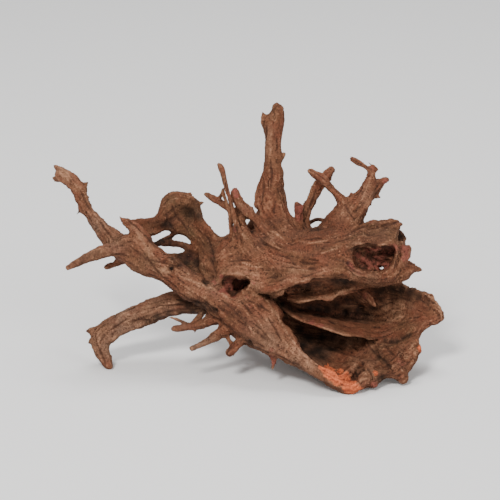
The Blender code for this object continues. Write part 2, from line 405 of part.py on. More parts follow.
def add_root(bm, name, stations, flat=1.0):
    """One tapering, ridged root, closed at both ends, swept through its stations."""
    seed = sum(ord(c) * (i + 3) for i, c in enumerate(name)) % 97
    line = drawn(stations)
    steps = max(FEWEST_RINGS, int(length_of(line) / RING_SPACING))
    centres = [curve_through(line, k / steps) for k in range(steps + 1)]
    rings = []
    for k, c in enumerate(centres):
        ahead = centres[min(k + 1, steps)][:3] - centres[max(k - 1, 0)][:3]
        across, behind = section_axes(Vector(ahead).normalized())
        radius = max(c[3], THINNEST) * (1 + SWELLING * noise.noise(Vector((k * SWELLING_PACE, seed, 0))))
        ring = []
        for j in range(ROOT_SIDES):
            turn = 2 * math.pi * j / ROOT_SIDES
            ridge = sum(height * math.cos(count * turn + shift * seed + twist * k)
                        for count, height, shift, twist in RIDGES)
            spoke = across * math.cos(turn) + behind * math.sin(turn) * flat
            ring.append(bm.verts.new(Vector(c[:3]) + spoke * radius * (1 + ridge)))
        rings.append(ring)
    for a, b in zip(rings, rings[1:]):
        for j in range(ROOT_SIDES):
            n = (j + 1) % ROOT_SIDES
            bm.faces.new((a[j], a[n], b[n], b[j]))
    bm.faces.new(list(reversed(rings[0])))
    bm.faces.new(rings[-1])


def add_shell(bm, name, thickness, rows):
    """One curved sheet of wood through rows of points, with wavy, thinner edges."""
    seed = sum(map(ord, name)) % 89
    lines = [drawn(row) for row in rows]
    width = max(np.linalg.norm(line[-1][:3] - line[0][:3]) for line in lines)
    height = max(length_of([line[0] for line in lines]), length_of([line[-1] for line in lines]))
    n, m = int(width / SHELL_SPACING) + 8, int(height / SHELL_SPACING) + 6
    grid = np.zeros((m + 1, n + 1, 3))
    for j in range(n + 1):
        column = [curve_through(line, j / n) for line in lines]
        for i in range(m + 1):
            grid[i, j] = curve_through(column, i / m)[:3]
    normal = np.cross(np.gradient(grid, axis=1), np.gradient(grid, axis=0))
    normal /= np.linalg.norm(normal, axis=2, keepdims=True) + 1e-9
    inwards = np.minimum.outer(np.minimum(np.arange(m + 1), m - np.arange(m + 1)),
                               np.minimum(np.arange(n + 1), n - np.arange(n + 1)))
    half = thickness / 2 * np.minimum(1.0, EDGE_THICKNESS + EDGE_GAIN * inwards)
    apart = Vector((seed, 0, 0))
    wave = np.array([[noise.noise(Vector(p) * SHELL_WAVE_PACE + apart) for p in row] for row in grid])
    centre = grid + normal * (SHELL_WAVE * wave)[..., None]
    front = centre + normal * half[..., None]
    rear = centre - normal * half[..., None]
    a = [[bm.verts.new(p) for p in row] for row in front]
    b = [[bm.verts.new(p) for p in row] for row in rear]
    for i in range(m):
        for j in range(n):
            bm.faces.new((a[i][j], a[i + 1][j], a[i + 1][j + 1], a[i][j + 1]))
            bm.faces.new((b[i][j], b[i][j + 1], b[i + 1][j + 1], b[i + 1][j]))
    for i in range(m):
        bm.faces.new((a[i][0], b[i][0], b[i + 1][0], a[i + 1][0]))
        bm.faces.new((a[i][n], a[i + 1][n], b[i + 1][n], b[i][n]))
    for j in range(n):
        bm.faces.new((a[0][j], a[0][j + 1], b[0][j + 1], b[0][j]))
        bm.faces.new((a[m][j], b[m][j], b[m][j + 1], a[m][j + 1]))


def add_plug(bm, depths, outline):
    """The cutter of a hollow: its outline on the drawing, swept from the near depth to the far one."""
    near, far, narrow = depths
    corners = np.array(outline, float)
    middle = corners.mean(axis=0)
    points = []
    for i in range(len(corners)):
        p0, p1, p2, p3 = (corners[(i + k) % len(corners)] for k in (-1, 0, 1, 2))
        points += [p1, spline(p0, p1, p2, p3, 0.5)]
    rings = []
    for k in range(HOLLOW_LAYERS + 1):
        share = k / HOLLOW_LAYERS
        size = 1 - (1 - narrow) * share
        if share > ROUND_FROM:
            size *= math.sqrt(max(SMALLEST_END, 1 - ((share - ROUND_FROM) / (1 - ROUND_FROM)) ** 2))
        back = near + (far - near) * share
        rings.append([bm.verts.new(wood(*(middle + (p - middle) * size), back)) for p in points])
    for a, b in zip(rings, rings[1:]):
        for j in range(len(points)):
            n = (j + 1) % len(points)
            bm.faces.new((a[j], b[j], b[n], a[n]))
    bm.faces.new(rings[0])
    bm.faces.new(list(reversed(rings[-1])))


def object_from(name, build):
    """A new object whose mesh the function build fills, with every shell's faces turned outwards."""
    bm = bmesh.new()
    build(bm)
    bmesh.ops.recalc_face_normals(bm, faces=bm.faces)
    mesh = bpy.data.meshes.new(name)
    bm.to_mesh(mesh)
    bm.free()
    obj = bpy.data.objects.new(name, mesh)
    bpy.context.scene.collection.objects.link(obj)
    return obj


def apply_modifiers(obj):
    """Replaces the object's mesh by what its modifiers make of it."""
    bpy.context.view_layer.update()
    graph = bpy.context.evaluated_depsgraph_get()
    made = bpy.data.meshes.new_from_object(obj.evaluated_get(graph))
    obj.modifiers.clear()
    obj.data = made


def fuse(obj, voxel, rounding):
    """Makes one skin of the overlapping shapes in obj, then rounds it."""
    remesh = obj.modifiers.new("one skin", "REMESH")
    remesh.mode = "VOXEL"
    remesh.voxel_size = voxel
    smooth = obj.modifiers.new("worn", "SMOOTH")
    smooth.factor = 0.5
    smooth.iterations = rounding
    apply_modifiers(obj)


def cut(obj, cutter):
    """Takes the cutter's shape out of obj and removes the cutter."""
    boolean = obj.modifiers.new("cut", "BOOLEAN")
    boolean.operation = "DIFFERENCE"
    boolean.solver = "EXACT"
    boolean.object = cutter
    apply_modifiers(obj)
    bpy.data.objects.remove(cutter)


def keep_largest_piece(obj):
    """Drops scraps and sealed bubbles, so that one closed skin is left."""
    bm = bmesh.new()
    bm.from_mesh(obj.data)
    unseen = set(bm.verts)
    pieces = []
    while unseen:
        queue = [unseen.pop()]
        piece = list(queue)
        while queue:
            for edge in queue.pop().link_edges:
                for v in edge.verts:
                    if v in unseen:
                        unseen.remove(v)
                        queue.append(v)
                        piece.append(v)
        pieces.append(piece)
    pieces.sort(key=len)
    bmesh.ops.delete(bm, geom=[v for p in pieces[:-1] for v in p], context="VERTS")
    bm.to_mesh(obj.data)
    bm.free()


def heavy_wood(bm):
    for name, stations in HEAVY_ROOTS.items():
        add_root(bm, name, stations)
    for name, (thickness, rows) in HEAVY_SHELLS.items():
        add_shell(bm, name, thickness, rows)


def hollows(bm):
    for depths, outline in HOLLOWS.values():
        add_plug(bm, depths, outline)
    for name, stations in HOLLOW_TUNNELS.items():
        add_root(bm, name, stations)


def fine_wood(bm):
    for name, stations in FINE_ROOTS.items():
        add_root(bm, name, stations, FLAT_ROOTS.get(name, 1.0))
    for name, (thickness, rows) in FINE_SHELLS.items():
        add_shell(bm, name, thickness, rows)


def below_floor(bm):
    """The cutter that wears the three low spots flat."""
    middle = Matrix.Translation((0, 0, FLOOR_HEIGHT - FLOOR_BLOCK[2] / 2))
    bmesh.ops.create_cube(bm, size=1, matrix=middle @ Matrix.Diagonal((*FLOOR_BLOCK, 1)))


def wood_material():
    material = bpy.data.materials.new("driftwood")
    material.use_nodes = True
    shader = material.node_tree.nodes["Principled BSDF"]
    shader.inputs["Base Color"].default_value = WOOD_COLOUR
    shader.inputs["Roughness"].default_value = WOOD_ROUGHNESS
    shader.inputs["Metallic"].default_value = 0.0
    return material


def join(obj, other):
    """Adds the other object's mesh to this one's."""
    bm = bmesh.new()
    bm.from_mesh(obj.data)
    bm.from_mesh(other.data)
    bm.to_mesh(obj.data)
    bm.free()
    bpy.data.objects.remove(other)


def driftwood_root():
    """The whole piece: heavy wood, hollows cut from it, fine wood added, then worn flat at the feet."""
    root = object_from("driftwood_root", heavy_wood)
    fuse(root, ROUGH_VOXEL, ROUGH_ROUNDING)
    cutters = object_from("hollows", hollows)
    fuse(cutters, FINE_VOXEL, HOLLOW_ROUNDING)
    cut(root, cutters)
    join(root, object_from("fine wood", fine_wood))
    fuse(root, FINE_VOXEL, FINE_ROUNDING)
    keep_largest_piece(root)
    decimate = root.modifiers.new("budget", "DECIMATE")
    decimate.ratio = TRIANGLES / (2 * len(root.data.polygons))
    decimate.use_collapse_triangulate = True
    apply_modifiers(root)
    cut(root, object_from("below floor", below_floor))
    keep_largest_piece(root)
    corners = np.array([v.co for v in root.data.vertices])
    low, high = corners.min(axis=0), corners.max(axis=0)
    to_origin = Vector((-(low[0] + high[0]) / 2, -(low[1] + high[1]) / 2, -FLOOR_HEIGHT))
    root.data.transform(Matrix.Scale(MM, 4) @ Matrix.Translation(to_origin))
    root.data.materials.append(wood_material())


for leftover in list(bpy.data.objects):
    bpy.data.objects.remove(leftover)
driftwood_root()
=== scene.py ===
"""The looks of an aquarium driftwood root: its weathered skin, its colours, the studio and the camera.

Places on the wood are given on the front drawing, a 500 mm square sheet at full size: (across, down)
in millimetres from the sheet's top left corner. The drawing is what the camera sees, so such a place
is found on the wood by looking from the camera through that point of the sheet.
"""

import math

import bmesh
import bpy
import numpy as np
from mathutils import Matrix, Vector, kdtree, noise
from mathutils.bvhtree import BVHTree

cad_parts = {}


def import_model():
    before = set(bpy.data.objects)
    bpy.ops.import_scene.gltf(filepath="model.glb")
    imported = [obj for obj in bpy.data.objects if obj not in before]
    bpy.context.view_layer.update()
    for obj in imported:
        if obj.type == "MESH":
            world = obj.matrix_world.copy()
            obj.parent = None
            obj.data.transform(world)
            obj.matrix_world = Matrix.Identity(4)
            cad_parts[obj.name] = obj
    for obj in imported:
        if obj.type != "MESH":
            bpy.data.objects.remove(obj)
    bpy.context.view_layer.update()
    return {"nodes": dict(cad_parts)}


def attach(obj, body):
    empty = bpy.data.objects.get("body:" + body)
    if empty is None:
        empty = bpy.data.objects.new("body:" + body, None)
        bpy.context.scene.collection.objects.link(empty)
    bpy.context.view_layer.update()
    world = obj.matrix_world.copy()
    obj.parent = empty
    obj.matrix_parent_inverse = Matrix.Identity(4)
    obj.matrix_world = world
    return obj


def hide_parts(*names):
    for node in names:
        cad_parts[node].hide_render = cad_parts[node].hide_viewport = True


MM = 0.001
NODE = "driftwood_root"

# The drawing and the camera, which stands where the drawing is seen from.
DRAWING_SIDE = 0.500
DRAWING_DISTANCE = 2.500
DRAWING_PITCH = math.radians(20.0)
DRAWING_CENTRE = Vector((0.002361, 0.010156, 0.116))
DRAWING_RIGHT = Vector((1, 0, 0))
DRAWING_INTO = Vector((0, math.cos(DRAWING_PITCH), -math.sin(DRAWING_PITCH)))
DRAWING_UP = DRAWING_RIGHT.cross(DRAWING_INTO)
CAMERA_PLACE = DRAWING_CENTRE - DRAWING_INTO * DRAWING_DISTANCE
CAMERA_SIGHT = (0.1, 50.0)
SENSOR_WIDTH_MM = 36.0
SHEET_REACH = 10.0

# The lamps of the studio: name, place, width, watts and colour.
LAMPS_AIM = (0.0, 0.0, 0.10)
LAMPS = [
    ("key", (-0.9, -2.0, 2.6), 0.9, 96.0, (1.0, 0.98, 0.96)),
    ("front", (0.35, -2.7, 0.9), 0.8, 16.0, (1.0, 0.97, 0.94)),
    ("fill", (1.9, -1.8, 1.3), 1.4, 22.0, (1.0, 0.98, 0.96)),
    ("top", (0.2, 0.9, 2.4), 1.2, 34.0, (1.0, 1.0, 1.0)),
]
SKY_STRENGTH = 0.47
FLOOR_REACH = 8.0
FLOOR_GREY = 0.86
FLOOR_ROUGHNESS = 0.9

# The weathered skin: its mesh.
SEED = 7
SKIN_VOXEL = 1.25 * MM
SKIN_ROUNDING = 3
SKIN_TRIANGLES = 196000
SHARED_CORNER = 0.01 * MM
ROUNDING_SHARE = 0.75
ROUNDING_MOST = 0.9 * MM
THIN_WOOD = 2.5 * MM
THICK_WOOD = 9 * MM
THIN_SOFTNESS = 0.12
MORE_SOFTNESS = 0.38
EDGE_ROOM = 0.15 * MM
FLOOR_EASE = 0.4

# What is measured on the solid: the sky it sees, its thickness and the way its fibres run.
SKY_RAYS = 48
SKY_REACH = 90 * MM
SKY_START = 0.6 * MM
SKY_PAST_FAR_WOOD = 0.5
THICKEST = 50 * MM
THICKNESS_START = 0.3 * MM
TURNING_ROUNDS = 8
GRAIN_ROUNDS = 6
GRAIN_STEP = 2.4 * MM

# Random fields over the wood: how large their lumps are.
FIELD_SIZES = {
    "thread": 2.4 * MM, "strand": 5.0 * MM, "band": 11.0 * MM, "lumps": 17.0 * MM, "small_lumps": 7.0 * MM,
    "crumbs": 3.2 * MM, "small_crumbs": 1.7 * MM, "chips": 4.5 * MM, "layered": 40.0 * MM,
    "broken": 8.0 * MM, "teeth": 3.4 * MM,
}
SMALL_SHARE = 0.6
STREAK_STEPS = {"fine": 2, "thread": 4, "strand": 7, "band": 11}
LAYER_SHARES = {"band": 0.85, "strand": 0.34, "thread": 0.13}

# Where a random field counts, from not at all to fully.
CHIP_RANGE = (-0.15, 0.5)
BREAK_RANGE = (-0.10, 0.0)
LAYERED_RANGE = (-0.25, 0.25)
GAP_RANGE = (-0.10, 0.25)
UNDERSIDE_SHADE_RANGE = (-0.2, 0.8)

# The relief in millimetres. Heights shrink on wood thinner than FULL_BODY; cracks, pits and chips don't.
FULL_BODY = 11.0 * MM
LEAST_BODY = 0.16
FINE_HEIGHT = 0.10
THREAD_HEIGHT = 0.17
STRAND_HEIGHT = 0.22
BAND_HEIGHT = 0.24
PLAIN_STEP = 0.30
LAYERED_STEP = 0.70
LUMP_HEIGHT = 0.42
CRUMB_HEIGHT = 0.13
BREAK_HEIGHT = 0.34
ORANGE_CALM = 0.7
ROUGH_GRAIN = 0.6
ROUGH_UNEVEN = 0.4
CRACK_DEPTH = 1.1
PECK_DEPTH = 0.8
PIT_DEPTH = 3.2
RIM_CHIP = 1.3
ROUGH_RIM_CHIP = 1.3
TOOTH_GAP = 2.2
RIM_BEND = 0.42 * MM

# Cracks, light lines, pecks and knots. Ranges of widths, sizes, radii and heights are in millimetres.
CRACK_COUNT = 220
CRACK_STEPS = (3, 13)
CRACK_WIDTHS = (0.45, 0.9)
DRAWN_CRACK = 1.2 * MM
LIGHT_EDGE = 1.1 * MM
LIGHT_STREAK = 0.6 * MM
LINE_TIP = 0.35
LINE_BODY = 0.65
LINE_SAMPLES = (0.0, 0.25, 0.5, 0.75)
LINE_FADE = 2.5
PECK_COUNT = 500
PECK_SIZES = (0.5, 1.3)
PECK_SHARE = 0.8
KNOT_COUNT = 14
KNOT_RADII = (4, 8)
KNOT_HEIGHTS = (0.3, 0.9)
KNOT_TURNS = 1.3
KNOT_TOP = 0.55
KNOT_RING = 0.3
KNOT_RING_DEPTH = 0.5
DEPTH_UNCOUNTED = 0.75

# The slivers that stand off the wood; lengths and widths in millimetres.
SLIVER_COUNT = 420
SLIVER_SIDES = 5
SLIVER_RINGS = 6
SLIVER_ROOM = 9 * MM
SLIVER_LENGTHS = (3.0, 7.5)
SLIVER_HALF_WIDTHS = (0.40, 0.90)
SLIVER_TIP = 0.06 * MM
SLIVER_LIFTS = (0.05, 0.32)
SLIVER_CURLS = (-0.12, 0.10)
SLIVER_SWAY = 0.15
SLIVER_SIDE_CURL = 0.10
SLIVER_FLATNESS = 0.5
SLIVER_DEPTH = 0.8 * MM
SLIVER_SETBACK = 1.0 * MM
SLIVER_TONE = 0.8
SLIVERS_ANYWHERE = 0.02
SLIVERS_ON_RED = 0.8
SLIVERS_ON_RIMS = 0.5

# Colours of the wood and of the shade and highlights painted on it, as the renderer's linear values.
BROWN = (0.132, 0.054, 0.028)
DEEP_BROWN = (0.043, 0.0175, 0.010)
LIGHT_BROWN = (0.222, 0.101, 0.053)
RED_BROWN = (0.137, 0.044, 0.023)
GREY_BROWN = (0.135, 0.077, 0.051)
OLIVE_BROWN = (0.086, 0.045, 0.022)
UMBER = (0.076, 0.028, 0.0145)
# The pale wood also paints the highlights on edges and the painted light of the pale places.
PALE_WOOD_AND_HIGHLIGHT = (0.335, 0.173, 0.100)
TORN_ORANGE = (0.58, 0.134, 0.050)
TORN_RUST = (0.320, 0.066, 0.028)
TORN_RED = (0.180, 0.052, 0.037)
# The darkest brown is painted shade only: the cave, the hollows, the pits and the dark places.
PAINTED_SHADE_BROWN = (0.010, 0.0065, 0.0045)

# Noise in the colours: (size, detail, roughness).
COLOUR_NOISE = {
    "mottle": (26 * MM, 5.0, 0.62), "cloud": (47 * MM, 3.0, 0.6), "dapple": (6 * MM, 5.0, 0.65),
    "grit": (1.4 * MM, 3.0, 0.75), "speck": (3.2 * MM, 4.0, 0.7),
}
SHINE = 0.14
BUMP_STRENGTH = 0.7
BUMP_DEPTH = 0.5 * MM

# Where the wood differs in colour, and where shade and light are painted on it: {(radius in mm, strength):
# [(across, down) on the drawing, ...], ...}.
ORANGE_PLACES = {
    (3, 0.5): [(416, 340)], (3, 0.7): [(347, 373)], (3, 1.0): [(321, 367), (327, 367)],
    (4, 0.8): [(332, 369), (375, 374)], (4, 0.9): [(340, 371), (420, 349)], (5, 0.8): [(325, 370)],
    (7, 1.0): [(331, 374), (356, 391)], (8, 1.0): [(338, 378), (345, 380)], (9, 1.0): [(350, 386)]
}
RED_PLACES = {
    (3, 0.5): [(87, 330), (254, 284)], (3, 0.7): [(227, 294), (235, 230)],
    (4, 0.4): [(228, 299), (246, 273), (252, 282), (338, 334), (345, 292)],
    (4, 0.5): [(212, 258), (220, 292), (244, 308), (372, 222)],
    (4, 0.6): [(221, 277), (234, 297), (248, 226), (372, 168)],
    (4, 0.7): [(222, 291), (236, 195), (376, 385)], (4, 0.8): [(225, 287), (271, 357), (386, 181)],
    (4, 1.0): [(234.5, 190)], (5, 0.3): [(350, 285)],
    (5, 0.4): [(247, 296), (250, 306), (262, 300), (350, 331), (362, 333)], (5, 0.45): [(332, 329)],
    (5, 0.5): [(214, 283), (271, 350), (359, 273), (401, 380)], (5, 0.55): [(322, 326)],
    (5, 0.6): [(237, 281), (312, 322)], (5, 0.7): [(273, 362), (352, 268), (374, 385)],
    (5, 0.8): [(232, 280), (233, 288), (238, 290), (299, 217), (349, 264)], (5, 0.9): [(226, 291)],
    (6, 0.35): [(196, 215), (318, 325), (408, 345)], (6, 0.4): [(199, 265)], (6, 0.45): [(255, 277)],
    (6, 0.5): [(365, 296)], (6, 0.6): [(364, 246)], (6, 0.7): [(358, 255), (404, 257)],
    (6, 1.0): [(299, 209)], (7, 0.35): [(232, 270)], (7, 0.4): [(213, 294)],
    (7, 0.7): [(368, 250), (386, 266)],
    (7, 0.8): [(376, 250), (382, 248), (385, 254), (405, 250)], (7, 0.9): [(228, 284)],
    (8, 0.3): [(258, 244)], (8, 0.35): [(392, 350)], (8, 0.45): [(190, 258)], (8, 0.8): [(393, 248)],
    (8, 0.9): [(243, 283), (388, 250)], (9, 0.35): [(400, 362)], (9, 0.45): [(355, 312)],
    (9, 0.9): [(366, 262), (378, 262)]
}
# Pale places are partly paler wood and partly painted light: lit bands, thin light rims, and shadows in
# the cave and hollows lightened.
PALE_AND_PAINTED_LIGHT_PLACES = {
    (1.6, 1.0): [(398, 290), (411, 288), (425, 293)], (2, 1.0): [(436, 302), (440, 310), (442, 318)],
    (4, 0.3): [(210, 278)], (4, 0.4): [(345, 372)],
    (4, 0.6): [(133, 228), (238, 273), (250, 274), (282, 292)], (4, 0.9): [(252, 283)],
    (5, 0.2): [(322, 181)], (5, 0.3): [(96, 255), (196, 272), (312, 173)],
    (5, 0.4): [(204, 344), (300, 297), (312, 297), (325, 295)], (5, 0.5): [(225, 300), (366, 186)],
    (5, 0.6): [(240, 302), (245, 270), (256, 274), (363, 374)],
    (5, 0.7): [(140, 236), (258, 284), (357, 368)], (5, 0.8): [(165, 271)], (5, 0.9): [(58, 170)],
    (6, 0.1): [(266, 178)], (6, 0.3): [(268, 150)], (6, 0.4): [(146, 309), (374, 348)],
    (6, 0.5): [(348, 345), (362, 346)], (6, 0.6): [(147, 248), (372, 279)],
    (6, 0.7): [(190, 291), (355, 276)], (6, 0.8): [(390, 319), (402, 304)], (7, 0.2): [(110, 228)],
    (7, 0.3): [(306, 276), (320, 273)], (7, 0.35): [(293, 277), (352, 362), (370, 366)],
    (7, 0.4): [(75, 185)], (7, 0.5): [(367, 199)], (7, 0.6): [(185, 276), (202, 287), (398, 315)],
    (7, 1.0): [(387, 307)], (8, 0.3): [(105, 352)], (8, 0.4): [(235, 270)],
    (8, 0.5): [(128, 318), (345, 215)], (8, 0.6): [(308, 365)],
    (9, 0.4): [(96, 334), (268, 320), (270, 345)], (9, 0.8): [(66, 174)], (9, 1.0): [(395, 312)],
    (10, 0.7): [(290, 352)]
}
OLIVE_PLACES = {
    (5, 0.5): [(158, 272)], (6, 0.7): [(152, 262)], (6, 0.8): [(146, 255)], (7, 0.4): [(332, 296)],
    (7, 0.6): [(150, 233)],
    (8, 0.4): [(205, 322), (243, 312), (280, 196), (310, 298), (365, 284)], (8, 0.5): [(275, 112)],
    (8, 0.6): [(176, 262)], (9, 0.4): [(150, 322), (232, 318), (275, 275)],
    (9, 0.5): [(120, 240), (352, 243)], (9, 0.6): [(390, 232), (415, 297)], (9, 0.7): [(192, 262)],
    (10, 0.5): [(400, 350)], (11, 0.5): [(140, 262)], (11, 0.6): [(340, 268), (405, 325)],
    (11, 0.8): [(204, 246)], (12, 0.5): [(372, 231)], (12, 1.0): [(186, 232), (188, 212)],
    (13, 0.7): [(395, 296)], (13, 1.0): [(172, 203)]
}
GREY_PLACES = {
    (12, 0.4): [(272, 345)], (12, 0.6): [(180, 322)], (14, 0.4): [(250, 330)], (14, 0.5): [(75, 265)],
    (14, 0.6): [(115, 245)], (14, 0.7): [(95, 225), (195, 308)], (15, 0.5): [(300, 362)],
    (15, 0.8): [(105, 345), (200, 345)], (20, 0.7): [(160, 312)], (24, 0.8): [(128, 322)]
}
# Umber places are partly darker wood and partly painted shade on the shaded walls of the cave.
UMBER_PLACES = {
    (5, 0.6): [(224, 305)], (6, 0.5): [(176, 276)], (6, 0.6): [(192, 300), (212, 270)],
    (6, 0.7): [(248, 228)], (7, 0.5): [(366, 376)], (7, 0.9): [(400, 236)], (8, 0.5): [(406, 372)],
    (8, 0.6): [(372, 246)], (8, 0.7): [(95, 258), (370, 242)], (8, 0.8): [(378, 237), (405, 287)],
    (8, 0.9): [(75, 264), (352, 240), (372, 225)], (9, 0.4): [(263, 115), (340, 213), (340, 325)],
    (9, 0.7): [(392, 224)], (9, 0.8): [(384, 374)], (9, 1.0): [(362, 236)], (10, 0.4): [(196, 232)],
    (10, 0.8): [(385, 230)], (11, 0.6): [(380, 300)], (12, 0.4): [(290, 268)],
    (12, 0.5): [(262, 240), (266, 145), (268, 192), (270, 170), (350, 358)], (12, 0.8): [(366, 233)],
    (13, 0.5): [(385, 352)], (13, 0.6): [(285, 250), (310, 252)],
    (14, 0.5): [(300, 250), (330, 250), (365, 345)], (14, 0.7): [(275, 222), (345, 222)],
    (14, 0.9): [(350, 232)], (16, 1.0): [(325, 234)], (18, 1.0): [(300, 232)]
}
# Dark places are painted shade: shadows in the cave, under overhangs, flaps and folds, and in hollows and
# pits.
PAINTED_SHADE_PLACES = {
    (2, 0.5): [(363, 371)], (2, 0.6): [(297, 212)], (2, 0.7): [(297, 205), (299, 204)],
    (2.5, 0.6): [(222, 281)], (2.5, 0.7): [(236, 229), (387, 259)], (2.5, 0.9): [(348, 263)],
    (3, 0.4): [(356, 374)],
    (3, 0.6): [(147, 321), (229, 291), (249, 227), (325, 220), (374, 352)],
    (3, 0.7): [(250, 342), (380, 357), (390, 248), (409, 336)],
    (3, 0.8): [(170, 240.5), (215, 311), (311, 229), (312, 221), (318, 219), (331, 322), (355, 281),
        (366, 244.5), (384, 246), (385, 340), (391, 341), (397, 341), (398, 241), (403, 338)],
    (3, 0.9): [(379, 380)], (3, 1.0): [(171.5, 268)],
    (4, 0.3): [(211, 245), (228, 288), (236, 236), (236, 288), (362, 268)], (4, 0.35): [(84, 258)],
    (4, 0.4): [(308, 319)],
    (4, 0.5): [(183, 303), (184, 247), (213, 260), (300, 316), (352, 256)],
    (4, 0.6): [(172, 238), (212, 258), (213, 252), (292, 312), (353, 249), (357, 248), (366, 322)],
    (4, 0.7): [(157, 317), (166, 245), (168, 239), (176, 243), (210, 309), (318, 229), (318, 284),
        (356, 321), (381, 299), (385, 361), (389, 366)],
    (4, 0.8): [(151, 240), (158, 243), (169, 314), (181, 313), (182, 300), (193, 312), (204, 311),
        (206, 304), (233, 294), (237, 293), (252, 232), (268, 295), (279, 298), (333, 280), (346, 319),
        (352, 283), (403, 236)],
    (4, 0.9): [(170, 226), (190, 301), (198, 302), (212, 309), (286, 318), (324, 316), (399, 233)],
    (4, 1.0): [(156, 242), (163, 241), (206, 281), (341, 279), (348, 279), (382, 378)],
    (5, 0.25): [(243, 283)],
    (5, 0.3): [(226, 280), (231, 284), (366, 256), (376, 257)], (5, 0.35): [(150, 224)],
    (5, 0.4): [(195, 274), (196, 203), (203, 268), (425, 308)],
    (5, 0.5): [(157, 223), (199, 271), (268, 296)], (5, 0.6): [(188, 270), (428, 301)],
    (5, 0.7): [(173, 258), (188, 305), (372, 308), (419, 296)],
    (5, 0.8): [(160, 243), (170, 244), (181, 265), (197, 304), (204, 306), (376, 291)],
    (5, 0.85): [(274, 300)],
    (5, 0.9): [(160, 240), (279, 306), (284, 303), (297, 285), (308, 285), (334, 317), (337, 281)],
    (5, 0.95): [(284, 312)], (5, 1.0): [(165, 225), (399, 236)],
    (6, 0.6): [(186, 266), (193, 268), (272, 300)], (6, 0.7): [(366, 315)], (6, 0.75): [(199, 216)],
    (6, 0.8): [(346, 312), (347, 300), (356, 302), (358, 311), (410, 293)], (6, 0.85): [(401, 290)],
    (6, 0.9): [(180, 256), (380, 292), (383, 289), (392, 289)],
    (6, 1.0): [(282, 305), (290, 308), (310, 309), (345, 282)], (7, 0.12): [(388, 377)],
    (7, 0.15): [(208, 240)], (7, 0.6): [(186, 210), (342, 343)],
    (7, 0.9): [(186, 262), (197, 262), (332, 338), (336, 305)], (7, 1.0): [(300, 310), (327, 310)],
    (8, 0.7): [(192, 213)], (8, 0.9): [(188, 256), (322, 357), (331, 349)], (8, 1.0): [(318, 311)],
    (9, 0.1): [(240, 308)], (9, 0.12): [(370, 232)], (9, 0.14): [(368, 190)],
    (9, 1.0): [(300, 330), (303, 345), (312, 352)], (10, 1.0): [(322, 337)], (12, 0.12): [(272, 226)],
    (12, 1.0): [(308, 338), (318, 350)], (13, 0.1): [(258, 322)], (13, 0.16): [(383, 230)],
    (18, 0.1): [(315, 233)]
}

# Where its shape differs: thorns stay sharp, the shell's rim has teeth, torn wood is rough, pits are deep.
THORN_PLACES = {
    (3, 1.0): [(195, 333)],
    (4, 1.0): [(54, 167), (54, 176), (76, 216), (88, 182), (88, 343), (119, 217), (190.5, 193),
        (252, 208), (309, 171), (332, 169), (380, 198), (422, 270)],
    (5, 1.0): [(170, 317), (203.5, 202), (206, 194), (222, 166), (273, 368), (285, 154), (299, 203),
        (351.5, 194), (352, 159), (377, 170), (388, 179)],
    (6, 1.0): [(224, 190)]
}
TEETH_PLACES = {
    (3, 0.5): [(322, 299), (352, 296)], (3, 0.8): [(375, 300), (377, 305)], (4, 0.8): [(417, 345)],
    (4, 1.0): [(403, 285.5), (409, 289), (415, 290.5), (420, 292.5), (426, 295), (431, 297.5),
        (432, 323), (435, 302), (438.5, 308), (439, 320), (441, 315)]
}
ROUGH_PLACES = {
    (8, 0.6): [(414, 289)], (9, 0.9): [(430, 296)], (9, 1.0): [(440, 312)],
    (10, 0.8): [(230, 284), (370, 377)], (12, 0.4): [(390, 226)],
    (14, 0.5): [(235, 235), (250, 305), (400, 245), (405, 360)], (14, 1.0): [(372, 262)],
    (18, 0.7): [(360, 355)], (18, 0.8): [(410, 305)], (20, 0.5): [(385, 345)], (20, 0.8): [(345, 310)]
}
PIT_PLACES = {
    (2.4, 1.2): [(171.5, 268)], (2.6, 0.8): [(333, 322)], (2.6, 1.0): [(215, 311)],
    (3, 0.9): [(294, 310)], (3, 1.0): [(250, 343), (360, 308)], (3.2, 1.0): [(345, 312)],
    (3.2, 1.2): [(206, 281)], (5.5, 1.0): [(318, 314)]
}

# Knots: (across, down, radius in mm, height in mm).
KNOTS = [(397, 316, 9, 1.3), (293, 237, 7, 0.5), (128, 322, 6, 0.6), (268, 200, 6, 0.4), (86, 196, 5, 0.4)]

